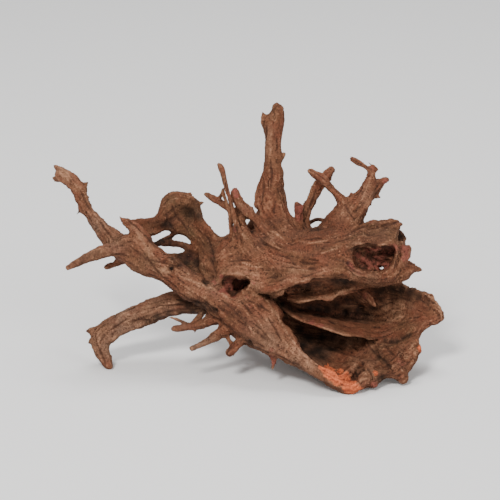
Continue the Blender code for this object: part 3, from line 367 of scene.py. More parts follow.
# Lines on the drawing: cracks, edges that catch the light, and pale streaks along the fibres.
CRACK_LINES = [
    [(80, 190), (86, 203), (93, 214)], [(100, 222), (108, 233), (114, 240)],
    [(130, 246), (140, 254), (150, 262)], [(140, 247), (147, 257), (155, 268), (163, 277), (172, 285)],
    [(151, 260), (160, 262), (169, 264), (180, 267)], [(166, 210), (168, 222), (176, 232)],
    [(172, 205), (176, 215), (184, 224), (190, 236)], [(206, 236), (210, 244), (213, 252), (215, 262)],
    [(216, 276), (214, 268), (211, 258)], [(262, 205), (264, 190), (263, 176)],
    [(266, 140), (267, 122)], [(271, 190), (272, 172), (270, 156)], [(302, 214), (300, 222)],
    [(316, 190), (312, 202), (307, 214)], [(345, 205), (350, 214), (356, 221)],
    [(228, 262), (240, 260), (252, 261)], [(262, 243), (270, 246), (279, 251)],
    [(300, 262), (309, 264), (318, 263)], [(330, 245), (340, 241), (352, 238)],
    [(346, 262), (350, 268), (356, 272), (364, 275)], [(352, 232), (362, 227), (372, 222)],
    [(380, 246), (386, 250), (389, 256)], [(392, 262), (394, 256), (393, 251)],
    [(214, 318), (226, 325), (236, 333)], [(222, 300), (232, 308), (243, 320), (252, 335)],
    [(240, 300), (247, 307), (252, 313)], [(243, 303), (247, 307), (250, 313)],
    [(247, 300), (255, 303), (262, 308)], [(258, 302), (264, 308), (270, 312)],
    [(268, 318), (276, 330), (282, 342)], [(270, 352), (283, 358), (296, 366), (306, 373)],
    [(98, 345), (103, 356), (106, 366)], [(110, 330), (118, 325), (128, 318)],
    [(128, 322), (140, 319), (150, 320)], [(150, 318), (165, 312), (180, 309), (200, 309)],
    [(176, 299), (186, 301), (196, 302), (205, 304), (212, 310)], [(252, 322), (262, 330), (270, 340)],
    [(292, 330), (298, 342), (306, 352)], [(352, 290), (358, 291), (364, 296)],
    [(352, 372), (356, 379), (360, 384)], [(357, 370), (358, 376), (357, 381)],
    [(362, 369), (366, 372)], [(366, 340), (370, 347), (377, 355), (384, 360), (390, 366), (393, 373)],
    [(366, 366), (370, 373), (373, 380)],
    [(383, 342), (390, 343), (397, 342), (404, 338), (412, 334), (418, 331)],
    [(385, 345), (390, 352), (396, 357)], [(388, 300), (400, 298), (415, 302)]
]
LIGHT_EDGES = [
    [(180, 276), (190, 280), (200, 284), (210, 288), (217, 291)],
    [(133, 228), (140, 237), (147, 247), (154, 256)],
    [(344, 262), (349, 270), (357, 276), (367, 279), (378, 278)],
    [(347, 247), (353, 243.5), (360, 243), (366, 246), (372, 247.5), (380, 245), (388, 243)],
    [(372, 250), (380, 249), (388, 250.5), (391, 253)], [(386, 272), (391, 265), (394, 258)],
    [(219, 290), (224, 296), (231, 299.5), (238, 297)],
    [(224, 276), (230, 273.5), (238, 273.5), (245, 275.5), (251, 279), (250, 285), (246, 291)],
    [(263, 294), (269, 304), (276, 314), (283, 325), (290, 337)], [(155, 309), (170, 303), (185, 300)],
    [(270, 293), (280, 294), (286, 290), (296, 283), (308, 279.5), (322, 278)],
    [(287, 298), (298, 301.5), (310, 300.5), (318, 298), (325, 296.5), (331, 298), (337, 294),
     (341, 292), (352, 289), (360, 288)],
    [(289, 336), (300, 351), (311, 361), (320, 366)],
    [(300, 316.5), (314, 323), (326, 329), (338, 334), (350, 337), (362, 339), (372, 339.5)],
    [(366, 296), (371, 302), (375, 306)], [(403, 285.5), (409, 288.5)],
    [(424, 294), (431, 297.5), (436, 302), (440, 309), (441.5, 316), (439, 320)]
]
LIGHT_STREAKS = [
    [(60, 172), (68, 180), (77, 187)], [(168, 204), (174, 199), (182, 197)],
    [(256, 170), (257, 190), (254, 205)], [(262, 222), (272, 232), (285, 240)],
    [(350, 222), (358, 219), (366, 218)], [(372, 172), (368, 185), (362, 200), (357, 212)],
    [(240, 262), (252, 266), (266, 268)], [(280, 262), (292, 266), (306, 267)],
    [(300, 241), (312, 243), (325, 241), (337, 236)], [(320, 254), (332, 250), (343, 245)],
    [(228, 305), (240, 316), (250, 328), (262, 341)], [(112, 322), (124, 314), (136, 309)],
    [(384, 310), (392, 305), (400, 303), (406, 306)], [(386, 316), (394, 311), (402, 310)],
    [(388, 322), (398, 318), (408, 315)]
]

# The patches by name, and the values that the skin and the slivers keep for the material.
SHAPE_PATCHES = {
    "pits": PIT_PLACES, "orange": ORANGE_PLACES, "rough": ROUGH_PLACES, "thorns": THORN_PLACES,
    "teeth": TEETH_PLACES,
}
COLOUR_PATCHES = {
    "red": RED_PLACES, "pale": PALE_AND_PAINTED_LIGHT_PLACES, "olive": OLIVE_PLACES, "umber": UMBER_PLACES,
    "grey": GREY_PLACES, "dark": PAINTED_SHADE_PLACES,
}
SLIVER_ATTRIBUTES = (
    "orange", "red", "pale", "olive", "umber", "grey", "under", "rough", "lit", "openness")
SKIN_ATTRIBUTES = SLIVER_ATTRIBUTES + (
    "dark", "crack", "rim", "worn", "relief", "fine", "thread", "strand", "band", "layer")


def make_camera():
    data = bpy.data.cameras.new("camera")
    data.sensor_width = SENSOR_WIDTH_MM
    data.lens = SENSOR_WIDTH_MM * DRAWING_DISTANCE / DRAWING_SIDE
    data.clip_start, data.clip_end = CAMERA_SIGHT
    camera = bpy.data.objects.new("camera", data)
    camera.location = CAMERA_PLACE
    camera.rotation_euler = (math.pi / 2 - DRAWING_PITCH, 0.0, 0.0)
    bpy.context.scene.collection.objects.link(camera)
    bpy.context.scene.camera = camera


def area_light(name, place, size, watts, colour):
    data = bpy.data.lights.new(name, "AREA")
    data.shape = "DISK"
    data.size = size
    data.energy = watts
    data.color = colour
    light = bpy.data.objects.new(name, data)
    light.location = place
    light.rotation_euler = (Vector(LAMPS_AIM) - Vector(place)).to_track_quat("-Z", "Y").to_euler()
    bpy.context.scene.collection.objects.link(light)


def make_floor():
    mesh = bpy.data.meshes.new("floor")
    reach = FLOOR_REACH
    corners = [(-reach, -reach, 0), (reach, -reach, 0), (reach, reach, 0), (-reach, reach, 0)]
    mesh.from_pydata(corners, [], [(0, 1, 2, 3)])
    floor = bpy.data.objects.new("floor", mesh)
    bpy.context.scene.collection.objects.link(floor)
    material = bpy.data.materials.new("pale_floor")
    material.use_nodes = True
    shader = material.node_tree.nodes["Principled BSDF"]
    shader.inputs["Base Color"].default_value = (FLOOR_GREY, FLOOR_GREY, FLOOR_GREY, 1.0)
    shader.inputs["Roughness"].default_value = FLOOR_ROUGHNESS
    mesh.materials.append(material)


def make_studio():
    """A pale floor, a bright dome of sky and soft lamps."""
    for lamp in LAMPS:
        area_light(*lamp)
    world = bpy.data.worlds.new("studio")
    world.use_nodes = True
    background = world.node_tree.nodes["Background"]
    background.inputs["Color"].default_value = (1.0, 1.0, 1.0, 1.0)
    background.inputs["Strength"].default_value = SKY_STRENGTH
    bpy.context.scene.world = world
    make_floor()


def mesh_arrays(mesh):
    """Points, normals and edges of a mesh as arrays."""
    points = np.empty(len(mesh.vertices) * 3)
    mesh.vertices.foreach_get("co", points)
    normals = np.empty(len(mesh.vertices) * 3, dtype=np.float32)
    mesh.vertex_normals.foreach_get("vector", normals)
    edges = np.empty(len(mesh.edges) * 2, dtype=np.int32)
    mesh.edges.foreach_get("vertices", edges)
    return points.reshape(-1, 3), normals.reshape(-1, 3).astype(float), edges.reshape(-1, 2)


def place_points(obj, points):
    obj.data.vertices.foreach_set("co", points.ravel())
    obj.data.update()


def shade_smooth(mesh):
    for polygon in mesh.polygons:
        polygon.use_smooth = True


def apply_modifiers(obj):
    """Replaces the object's mesh by what its modifiers make of it."""
    bpy.context.view_layer.update()
    graph = bpy.context.evaluated_depsgraph_get()
    made = bpy.data.meshes.new_from_object(obj.evaluated_get(graph))
    obj.modifiers.clear()
    obj.data = made


def store(obj, name, values):
    """Keeps one value per point of obj's mesh under that name, for the material to read."""
    attribute = obj.data.attributes.new(name, "FLOAT", "POINT")
    attribute.data.foreach_set("value", np.asarray(values, dtype=np.float32))


def welded_copy(mesh):
    """A copy of the mesh whose triangles share their corner points."""
    work = bmesh.new()
    work.from_mesh(mesh)
    bmesh.ops.remove_doubles(work, verts=work.verts, dist=SHARED_CORNER)
    copy = bpy.data.meshes.new("weathered_wood")
    work.to_mesh(copy)
    work.free()
    shade_smooth(copy)
    return copy


def standard(values):
    return (values - values.mean()) / (values.std() + 1e-9)


def smooth_step(values, low, high):
    t = np.clip((values - low) / (high - low), 0, 1)
    return t * t * (3 - 2 * t)


def neighbour_mean(values, edges, count):
    """For each point, the mean of values over the points that share an edge with it."""
    a, b = edges[:, 0], edges[:, 1]
    shape = (count,) + values.shape[1:]
    flat = values.reshape(count, -1)
    total = np.empty_like(flat)
    for c in range(flat.shape[1]):
        total[:, c] = (np.bincount(a, flat[b, c], count) + np.bincount(b, flat[a, c], count))
    degree = np.bincount(a, minlength=count) + np.bincount(b, minlength=count)
    return (total / np.maximum(degree, 1)[:, None]).reshape(shape)


def smoothed(values, edges, rounds):
    for _ in range(rounds):
        values = 0.5 * values + 0.5 * neighbour_mean(values, edges, len(values))
    return values


def tree_of(points):
    tree = kdtree.KDTree(len(points))
    for i, p in enumerate(points):
        tree.insert(p, i)
    tree.balance()
    return tree


def random_field(points, name):
    """Smooth random values in space, with lumps of the named field's size."""
    number = 1.0 + list(FIELD_SIZES).index(name)
    shift = Vector((number, 2.3 * number, -1.7 * number))
    scale = 1.0 / FIELD_SIZES[name]
    return np.array([noise.noise(Vector(p) * scale + shift) for p in points])


def grain_on_solid(normals, edges):
    """How the wood's fibres run at each point of the solid, as a tensor: they follow the roots."""
    turning = smoothed(normals[:, :, None] * normals[:, None, :], edges, TURNING_ROUNDS)
    sizes, axes = np.linalg.eigh(turning)
    along = axes[:, :, 0]
    trust = (sizes[:, 1] - sizes[:, 0]) / (sizes[:, 2] + 1e-9)
    along = along - normals * np.sum(along * normals, axis=1, keepdims=True)
    trust = trust * np.linalg.norm(along, axis=1) + 1e-4
    along /= np.linalg.norm(along, axis=1, keepdims=True) + 1e-9
    return smoothed(trust[:, None, None] * along[:, :, None] * along[:, None, :], edges, GRAIN_ROUNDS)


def sky_directions():
    """Directions spread evenly over the upper half of a unit sphere."""
    golden = math.pi * (3 - math.sqrt(5))
    directions = []
    for k in range(SKY_RAYS):
        z = (k + 0.5) / SKY_RAYS
        r = math.sqrt(1 - z * z)
        directions.append((r * math.cos(golden * k), r * math.sin(golden * k), z))
    return directions


def openness_on_solid(points, normals, tree):
    """How much of the sky each point of the solid sees, 0 to 1, and how thick the wood is below it."""
    directions = sky_directions()
    openness = np.zeros(len(points))
    thickness = np.zeros(len(points))
    for i, (p, n) in enumerate(zip(points, normals)):
        normal = Vector(n)
        side = normal.orthogonal().normalized()
        other = normal.cross(side)
        start = Vector(p) + normal * SKY_START
        seen = 0.0
        weight = 0.0
        for x, y, z in directions:
            hit = tree.ray_cast(start, side * x + other * y + normal * z, SKY_REACH)
            seen += z * (1.0 if hit[0] is None else SKY_PAST_FAR_WOOD * (hit[3] / SKY_REACH) ** 2)
            weight += z
        openness[i] = seen / weight
        below = tree.ray_cast(Vector(p) - normal * THICKNESS_START, -normal, THICKEST)
        thickness[i] = THICKEST if below[0] is None else below[3]
    return openness, thickness


class Solid:
    """The solid's mesh with what is known of the wood at its points, to be read anywhere on its skin."""

    def __init__(self, mesh):
        self.points, self.normals, edges = mesh_arrays(mesh)
        mesh.calc_loop_triangles()
        self.triangles = np.array([t.vertices[:] for t in mesh.loop_triangles])
        self.tree = BVHTree.FromPolygons([Vector(p) for p in self.points], self.triangles.tolist())
        self.grain = grain_on_solid(self.normals, edges)
        self.openness, self.thickness = openness_on_solid(self.points, self.normals, self.tree)
        self.thickness = smoothed(self.thickness, edges, 2)

    def nearest(self, points):
        """The corners of the triangle nearest to each point and their shares there."""
        found = [self.tree.find_nearest(Vector(p)) for p in points]
        corners = self.triangles[[f[2] for f in found]]
        place = np.array([f[0] for f in found])
        a, b, c = (self.points[corners[:, k]] for k in range(3))
        ab, ac, ap = b - a, c - a, place - a
        d00, d01, d11 = (np.sum(u * v, axis=1) for u, v in ((ab, ab), (ab, ac), (ac, ac)))
        d20, d21 = np.sum(ap * ab, axis=1), np.sum(ap * ac, axis=1)
        size = np.maximum(d00 * d11 - d01 * d01, 1e-30)
        v = np.clip((d11 * d20 - d01 * d21) / size, 0, 1)
        w = np.clip((d00 * d21 - d01 * d20) / size, 0, 1)
        shares = np.stack([np.clip(1 - v - w, 0, 1), v, w], axis=1)
        return corners, shares / shares.sum(axis=1, keepdims=True)

    def rounded(self, points, corners, shares):
        """The points moved out from the flat triangles to the curved skin that their corners describe."""
        moved = np.zeros_like(points)
        for k in range(3):
            corner, normal = self.points[corners[:, k]], self.normals[corners[:, k]]
            height = np.sum((points - corner) * normal, axis=1, keepdims=True)
            moved += shares[:, k:k + 1] * (points - height * normal)
        step = (moved - points) * ROUNDING_SHARE
        length = np.linalg.norm(step, axis=1, keepdims=True)
        return points + step * np.minimum(1, ROUNDING_MOST / np.maximum(length, 1e-12))


def mixed(values, corners, shares):
    """Values known at the solid's corners, read at points that lie at those shares between them."""
    flat = values.reshape(len(values), -1)
    return np.einsum("ij,ijk->ik", shares, flat[corners]).reshape((len(corners),) + values.shape[1:])


def fibre_direction(tensor, normals):
    """The main direction of each point's fibre tensor, laid into the skin."""
    n = normals
    flat = np.eye(3)[None] - n[:, :, None] * n[:, None, :]
    _, axes = np.linalg.eigh(flat @ tensor @ flat)
    along = axes[:, :, 2]
    along = along - n * np.sum(along * n, axis=1, keepdims=True)
    return along / (np.linalg.norm(along, axis=1, keepdims=True) + 1e-9)


class Fibres:
    """Steps along the fibres from point to point of the skin."""

    def __init__(self, points, along):
        tree = tree_of(points)
        ahead = points + along * GRAIN_STEP
        behind = points - along * GRAIN_STEP
        self.next = np.array([[tree.find(a)[1], tree.find(b)[1]] for a, b in zip(ahead, behind)])
        same = np.sum(along[:, None, :] * along[self.next], axis=2) > 0
        side = np.array([[0, 1]])
        self.turn = np.where(same, side, 1 - side)

    def drawn_out(self, values, steps):
        """Values drawn out into streaks: their mean along the fibres, mostly from close by."""
        total = values.astype(float).copy()
        for way in (0, 1):
            at = np.arange(len(values))
            heading = np.full(len(values), way)
            for k in range(1, steps + 1):
                at, heading = self.next[at, heading], self.turn[at, heading]
                total += (0.5 + 0.5 * math.cos(math.pi * k / (steps + 1))) * values[at]
        return standard(total)

    def line(self, start, steps):
        """The points met on a walk of some steps along the fibres."""
        met, heading = [start], 0
        for _ in range(steps):
            at = met[-1]
            met.append(self.next[at, heading])
            heading = self.turn[at, heading]
        return met


def toward_sheet(across, down):
    """The direction from the camera through a place on the drawing."""
    x = across * MM - DRAWING_SIDE / 2
    y = DRAWING_SIDE / 2 - down * MM
    return (DRAWING_INTO * DRAWING_DISTANCE + DRAWING_RIGHT * x + DRAWING_UP * y).normalized()


def spot(tree, across, down):
    """The place on the wood that the drawing shows there, or None where it shows none."""
    hit = tree.ray_cast(CAMERA_PLACE, toward_sheet(across, down), SHEET_REACH)
    return None if hit[0] is None else np.array(hit[0])


def patch(points, tree, places):
    """A soft mask that has the given strength at each of the given places and fades over the radius.

    Distance into the sheet counts half, so that a place also covers wood that slopes away.
    """
    mask = np.zeros(len(points))
    for (radius, strength), centres in places.items():
        for across, down in centres:
            centre = spot(tree, across, down)
            if centre is None:
                continue
            offset = points - centre
            depth = offset @ np.array(toward_sheet(across, down))
            gap = np.sqrt(np.maximum(np.sum(offset ** 2, axis=1) - DEPTH_UNCOUNTED * depth ** 2, 0))
            mask = np.maximum(mask, strength * np.exp(-(gap / (radius * MM)) ** 2))
    return mask


def near_line(points, samples, widths):
    """A mask, 0 to 1, that is full on the sample points and fades over each one's width."""
    tree = tree_of(samples)
    mask = np.zeros(len(points))
    for i, p in enumerate(points):
        _, k, gap = tree.find(p)
        if gap < LINE_FADE * widths[k]:
            mask[i] = math.exp(-(gap / widths[k]) ** 2)
    return mask


def drawn(tree, places):
    """The points of the wood along a line on the drawing, about a millimetre apart."""
    found = []
    for (x0, y0), (x1, y1) in zip(places, places[1:]):
        count = max(1, round(math.hypot(x1 - x0, y1 - y0)))
        for k in range(count + 1):
            found.append(spot(tree, x0 + (x1 - x0) * k / count, y0 + (y1 - y0) * k / count))
    return [q for q in found if q is not None]


def tapered(path, width):
    """Sample points along a path and the width at each of them, which shrinks toward both ends."""
    steps = [(a, b, t) for a, b in zip(path, path[1:]) for t in LINE_SAMPLES]
    samples = [a + (b - a) * t for a, b, t in steps]
    turns = [math.pi * (k + 0.5) / len(steps) for k in range(len(steps))]
    return samples, [width * (LINE_TIP + LINE_BODY * math.sin(turn)) for turn in turns]


def line_mask(points, paths):
    """A mask, 0 to 1, that is full on the given (path, width) lines."""
    samples, widths = [], []
    for path, width in paths:
        more_samples, more_widths = tapered(path, width)
        samples += more_samples
        widths += more_widths
    return near_line(points, samples, widths)


def cracks(points, tree, fibres, rng):
    """Dark fissures: those that the drawing shows and some more along the fibres, all over the wood."""
    paths = [(drawn(tree, places), DRAWN_CRACK) for places in CRACK_LINES]
    for _ in range(CRACK_COUNT):
        met = fibres.line(int(rng.integers(len(points))), int(rng.integers(*CRACK_STEPS)))
        paths.append((list(points[met]), float(rng.uniform(*CRACK_WIDTHS)) * MM))
    return line_mask(points, paths)


def light_lines(points, tree):
    """Painted highlights on the edges that the drawing shows pale, and pale streaks along the fibres."""
    paths = [(drawn(tree, places), LIGHT_EDGE) for places in LIGHT_EDGES]
    paths += [(drawn(tree, places), LIGHT_STREAK) for places in LIGHT_STREAKS]
    return line_mask(points, paths)


def pecks(points, rng):
    """Small pits, all over the wood."""
    centres = points[rng.integers(len(points), size=PECK_COUNT)]
    return near_line(points, centres, rng.uniform(*PECK_SIZES, PECK_COUNT) * MM)


def knot_list(points, tree, rng):
    """Place, radius in metres and height in millimetres of each knot: those drawn and some more."""
    knots = [(spot(tree, x, y), radius * MM, height) for x, y, radius, height in KNOTS]
    for k in rng.integers(len(points), size=KNOT_COUNT):
        knots.append((points[k], rng.uniform(*KNOT_RADII) * MM, rng.uniform(*KNOT_HEIGHTS)))
    return knots


def turn_round_knots(points, normals, along, knots):
    """Leads the fibres round the knots and gives how far each knot lifts the skin."""
    lift = np.zeros(len(points))
    for centre, radius, height in knots:
        offset = points - centre
        gap = np.linalg.norm(offset, axis=1) / radius
        around = np.cross(normals, offset)
        around /= np.linalg.norm(around, axis=1, keepdims=True) + 1e-9
        around *= np.where(np.sum(around * along, axis=1, keepdims=True) < 0, -1, 1)
        share = np.exp(-(gap / KNOT_TURNS) ** 2)[:, None]
        along = along * (1 - share) + around * share
        along /= np.linalg.norm(along, axis=1, keepdims=True) + 1e-9
        ring = KNOT_RING_DEPTH * np.exp(-((gap - 1.0) / KNOT_RING) ** 2)
        lift += height * (np.exp(-(gap / KNOT_TOP) ** 2) - ring)
    return along, lift


def even_skin(solid, core):
    """A skin of small even faces on the solid, rounded where the solid's triangles meet.

    Also gives where each of its points lies on the core and how thick the wood is there.
    """
    skin = bpy.data.objects.new("weathered_wood", welded_copy(solid.data))
    bpy.context.scene.collection.objects.link(skin)
    remesh = skin.modifiers.new("even", "REMESH")
    remesh.mode = "VOXEL"
    remesh.voxel_size = SKIN_VOXEL
    apply_modifiers(skin)

    points, _, edges = mesh_arrays(skin.data)
    corners, shares = core.nearest(points)
    thickness = mixed(core.thickness, corners, shares)
    points = core.rounded(points, corners, shares)
    softness = THIN_SOFTNESS + MORE_SOFTNESS * smooth_step(thickness, THIN_WOOD, THICK_WOOD)
    for _ in range(SKIN_ROUNDING):
        points = points + softness[:, None] * (neighbour_mean(points, edges, len(points)) - points)
    place_points(skin, points)
    return skin, corners, shares, thickness


def streaks(points, fibres, rng):
    """Random values drawn out along the fibres, from fine to broad, and the layers between them."""
    made = {"fine": fibres.drawn_out(rng.standard_normal(len(points)), STREAK_STEPS["fine"])}
    for name in ("thread", "strand", "band"):
        made[name] = fibres.drawn_out(random_field(points, name), STREAK_STEPS[name])
    layers = sum(share * made[name] for name, share in LAYER_SHARES.items())
    made["layer"] = layers - np.floor(layers)
    return made


def breaks(points):
    """Lumps, crumbs, chips and broken ridges, which don't follow the fibres, and where layers show."""
    lumps = random_field(points, "lumps") + SMALL_SHARE * random_field(points, "small_lumps")
    crumbs = random_field(points, "crumbs") + SMALL_SHARE * random_field(points, "small_crumbs")
    return {
        "lumps": standard(lumps), "crumbs": standard(crumbs),
        "chips": smooth_step(random_field(points, "chips"), *CHIP_RANGE),
        "broken": -smooth_step(-np.abs(random_field(points, "broken")), *BREAK_RANGE),
        "layered": smooth_step(random_field(points, "layered"), *LAYERED_RANGE),
        "gaps": smooth_step(random_field(points, "teeth"), *GAP_RANGE)}


def relief_height(wood, thickness, knots):
    """How far each point stands out from the rounded solid, in millimetres."""
    step = PLAIN_STEP + LAYERED_STEP * wood["layered"]
    grain = FINE_HEIGHT * wood["fine"] + THREAD_HEIGHT * wood["thread"] + STRAND_HEIGHT * wood["strand"]
    grain = grain + BAND_HEIGHT * wood["band"] + step * (wood["layer"] - 0.5)
    uneven = LUMP_HEIGHT * wood["lumps"] + CRUMB_HEIGHT * wood["crumbs"] + BREAK_HEIGHT * wood["broken"]
    uneven = uneven * (1 - ORANGE_CALM * wood["orange"])
    rough = wood["rough"]
    relief = grain * (1 + ROUGH_GRAIN * rough) + uneven * (1 + ROUGH_UNEVEN * rough)
    body = np.clip(thickness / FULL_BODY, LEAST_BODY, 1.0)
    relief = (relief + knots) * body
    relief = relief - CRACK_DEPTH * wood["crack"] - PECK_DEPTH * wood["peck"] - PIT_DEPTH * wood["pits"]
    chip = (RIM_CHIP + ROUGH_RIM_CHIP * rough) * wood["rim"] * wood["chips"] * (1 - wood["thorns"])
    return relief - chip - TOOTH_GAP * (wood["teeth"] * wood["gaps"])


def weathered_wood(solid):
    """The two visible pieces: the skin with the relief and wear of old root wood, and its torn slivers."""
    core = Solid(welded_copy(solid.data))
    skin, corners, shares, thickness = even_skin(solid, core)
    points, normals, edges = mesh_arrays(skin.data)
    along = fibre_direction(mixed(core.grain, corners, shares), normals)
    rng = np.random.default_rng(SEED)
    along, knots = turn_round_knots(points, normals, along, knot_list(points, core.tree, rng))
    fibres = Fibres(points, along)
    bend = np.sum((neighbour_mean(points, edges, len(points)) - points) * normals, axis=1)

    wood = {**streaks(points, fibres, rng), **breaks(points)}
    wood["rim"] = np.clip(-smoothed(bend, edges, 2) / RIM_BEND, 0, 1) ** 2
    wood["crack"] = cracks(points, core.tree, fibres, rng)
    wood["lit"] = light_lines(points, core.tree)
    wood["peck"] = pecks(points, rng)
    for name, places in SHAPE_PATCHES.items():
        wood[name] = patch(points, core.tree, places)

    relief = relief_height(wood, thickness, knots)
    points = points + normals * relief[:, None] * MM
    low, high = core.points.min(axis=0), core.points.max(axis=0)
    low[2] = -FLOOR_EASE * EDGE_ROOM
    place_points(skin, np.clip(points, low + EDGE_ROOM, high - EDGE_ROOM))

    moved, moved_normals, _ = mesh_arrays(skin.data)
    hollow = np.sum((neighbour_mean(moved, edges, len(moved)) - moved) * moved_normals, axis=1)
    # Curvature of the finished skin: ridges are made paler as wear, grooves are made darker as painted
    # shade.
    wood["worn"] = np.clip(standard(-smoothed(hollow, edges, 1)), -3, 3)
    wood["relief"] = standard(relief)
    wood["crack"] = np.maximum(wood["crack"], PECK_SHARE * wood["peck"])
    wood["openness"] = mixed(core.openness, corners, shares)
    # Painted shade on the undersides: darker where the skin faces down.
    wood["under"] = smooth_step(-normals[:, 2], *UNDERSIDE_SHADE_RANGE)
    for name, places in COLOUR_PATCHES.items():
        wood[name] = patch(points, core.tree, places)
    # Painted shade in the pits as well as at the dark places.
    wood["dark"] = np.maximum(wood["dark"], wood["pits"])
    for name in SKIN_ATTRIBUTES:
        store(skin, name, wood[name])

    roots = np.all((points > low + SLIVER_ROOM) & (points < high - SLIVER_ROOM), axis=1)
    slivers = torn_fibres(points, normals, along, wood, roots, rng)
    thin_out(skin)
    return skin, slivers


def thin_out(skin):
    """Takes the skin down to its number of triangles."""
    thin = skin.modifiers.new("budget", "DECIMATE")
    skin.data.calc_loop_triangles()
    thin.ratio = min(1.0, SKIN_TRIANGLES / len(skin.data.loop_triangles))
    apply_modifiers(skin)
    shade_smooth(skin.data)


def torn_fibres(points, normals, along, wood, roots, rng):
    """Slivers that stand off the wood along its fibres, most of them where it is torn."""
    torn = SLIVERS_ANYWHERE + wood["orange"] + SLIVERS_ON_RED * wood["red"]
    torn = torn + SLIVERS_ON_RIMS * wood["rim"] * wood["layered"]
    weight = torn * roots
    starts = rng.choice(len(points), size=SLIVER_COUNT, replace=False, p=weight / weight.sum())
    verts, faces, grown_from = [], [], []
    for k in starts:
        n, side = Vector(normals[k]), Vector(np.cross(normals[k], along[k]))
        way = Vector(along[k]) * rng.choice((-1.0, 1.0))
        lift = n * rng.uniform(*SLIVER_LIFTS)
        ahead = (way + lift + side * rng.normal(0, SLIVER_SWAY)).normalized()
        curl = n * rng.uniform(*SLIVER_CURLS) + side * rng.normal(0, SLIVER_SIDE_CURL)
        length = rng.uniform(*SLIVER_LENGTHS) * MM
        width = rng.uniform(*SLIVER_HALF_WIDTHS) * MM
        root = Vector(points[k]) - n * SLIVER_DEPTH - way * SLIVER_SETBACK
        first = len(verts)
        for i in range(SLIVER_RINGS):
            t = i / (SLIVER_RINGS - 1)
            middle = root + ahead * (length * t) + curl * (length * t * t)
            half = width * (1 - t) ** 0.6 + SLIVER_TIP
            for j in range(SLIVER_SIDES):
                turn = 2 * math.pi * j / SLIVER_SIDES
                rise = SLIVER_FLATNESS * half * math.sin(turn)
                verts.append(middle + side * (half * math.cos(turn)) + n * rise)
                grown_from.append(k)
        faces += tube_faces(first)
    mesh = bpy.data.meshes.new("torn_fibres")
    mesh.from_pydata(verts, [], faces)
    shade_smooth(mesh)
    piece = bpy.data.objects.new("torn_fibres", mesh)
    bpy.context.scene.collection.objects.link(piece)
    for name in SLIVER_ATTRIBUTES:
        store(piece, name, wood[name][grown_from])
    store(piece, "layer", np.full(len(verts), 0.5))
    store(piece, "fine", np.repeat(rng.normal(0, SLIVER_TONE, len(starts)), SLIVER_RINGS * SLIVER_SIDES))
    return piece


def tube_faces(first):
    """The faces of a sliver whose rings of points begin with that one: its sides and both ends."""
    faces = []
    for i in range(SLIVER_RINGS - 1):
        for j in range(SLIVER_SIDES):
            a = first + i * SLIVER_SIDES + j
            b = first + i * SLIVER_SIDES + (j + 1) % SLIVER_SIDES
            faces.append((a, b, b + SLIVER_SIDES, a + SLIVER_SIDES))
    last = first + (SLIVER_RINGS - 1) * SLIVER_SIDES
    faces.append(tuple(range(first + SLIVER_SIDES - 1, first - 1, -1)))
    faces.append(tuple(range(last, last + SLIVER_SIDES)))
    return faces


class Nodes:
    """Short names for building a material's node tree."""

    def __init__(self, name):
        self.material = bpy.data.materials.new(name)
        self.material.use_nodes = True
        self.tree = self.material.node_tree
        self.shader = self.tree.nodes["Principled BSDF"]

    def new(self, kind, **settings):
        node = self.tree.nodes.new(kind)
        for key, value in settings.items():
            setattr(node, key, value)
        return node

    def fill(self, socket, value):
        """Sets a socket to a number or a colour, or links it to another socket."""
        if isinstance(value, (int, float)):
            socket.default_value = value
        elif isinstance(value, tuple):
            socket.default_value = (*value, 1.0)
        else:
            self.tree.links.new(value, socket)

    def attribute(self, name):
        return self.new("ShaderNodeAttribute", attribute_name=name).outputs["Fac"]

    def math(self, operation, a, b, clamp=False):
        node = self.new("ShaderNodeMath", operation=operation, use_clamp=clamp)
        self.fill(node.inputs[0], a)
        self.fill(node.inputs[1], b)
        return node.outputs[0]

    def plus(self, a, b, clamp=False):
        return self.math("ADD", a, b, clamp)

    def times(self, a, b):
        return self.math("MULTIPLY", a, b)

    def larger(self, a, b):
        return self.math("MAXIMUM", a, b)

    def ramp(self, value, low, high, to_low=0.0, to_high=1.0):
        node = self.new("ShaderNodeMapRange", interpolation_type="SMOOTHSTEP")
        for socket, x in zip(("From Min", "From Max", "To Min", "To Max"), (low, high, to_low, to_high)):
            node.inputs[socket].default_value = x
        self.fill(node.inputs["Value"], value)
        return node.outputs["Result"]

    def mix(self, share, a, b, blend="MIX"):
        node = self.new("ShaderNodeMix", data_type="RGBA", blend_type=blend)
        for socket, value in ((node.inputs[0], share), (node.inputs[6], a), (node.inputs[7], b)):
            self.fill(socket, value)
        return node.outputs[2]

    def noise(self, size, detail, roughness):
        place = self.new("ShaderNodeTexCoord").outputs["Object"]
        node = self.new("ShaderNodeTexNoise")
        settings = {"Scale": 1.0 / size, "Detail": detail, "Roughness": roughness, "Vector": place}
        for socket, value in settings.items():
            self.fill(node.inputs[socket], value)
        return node.outputs["Fac"]


def wood_nodes():
    """The nodes of the weathered wood: the noise and the skin's values that its colours are made from."""
    n = Nodes("weathered_wood")
    for name, kind in COLOUR_NOISE.items():
        setattr(n, name, n.noise(*kind))
    for name in SKIN_ATTRIBUTES:
        setattr(n, name, n.attribute(name))
    return n


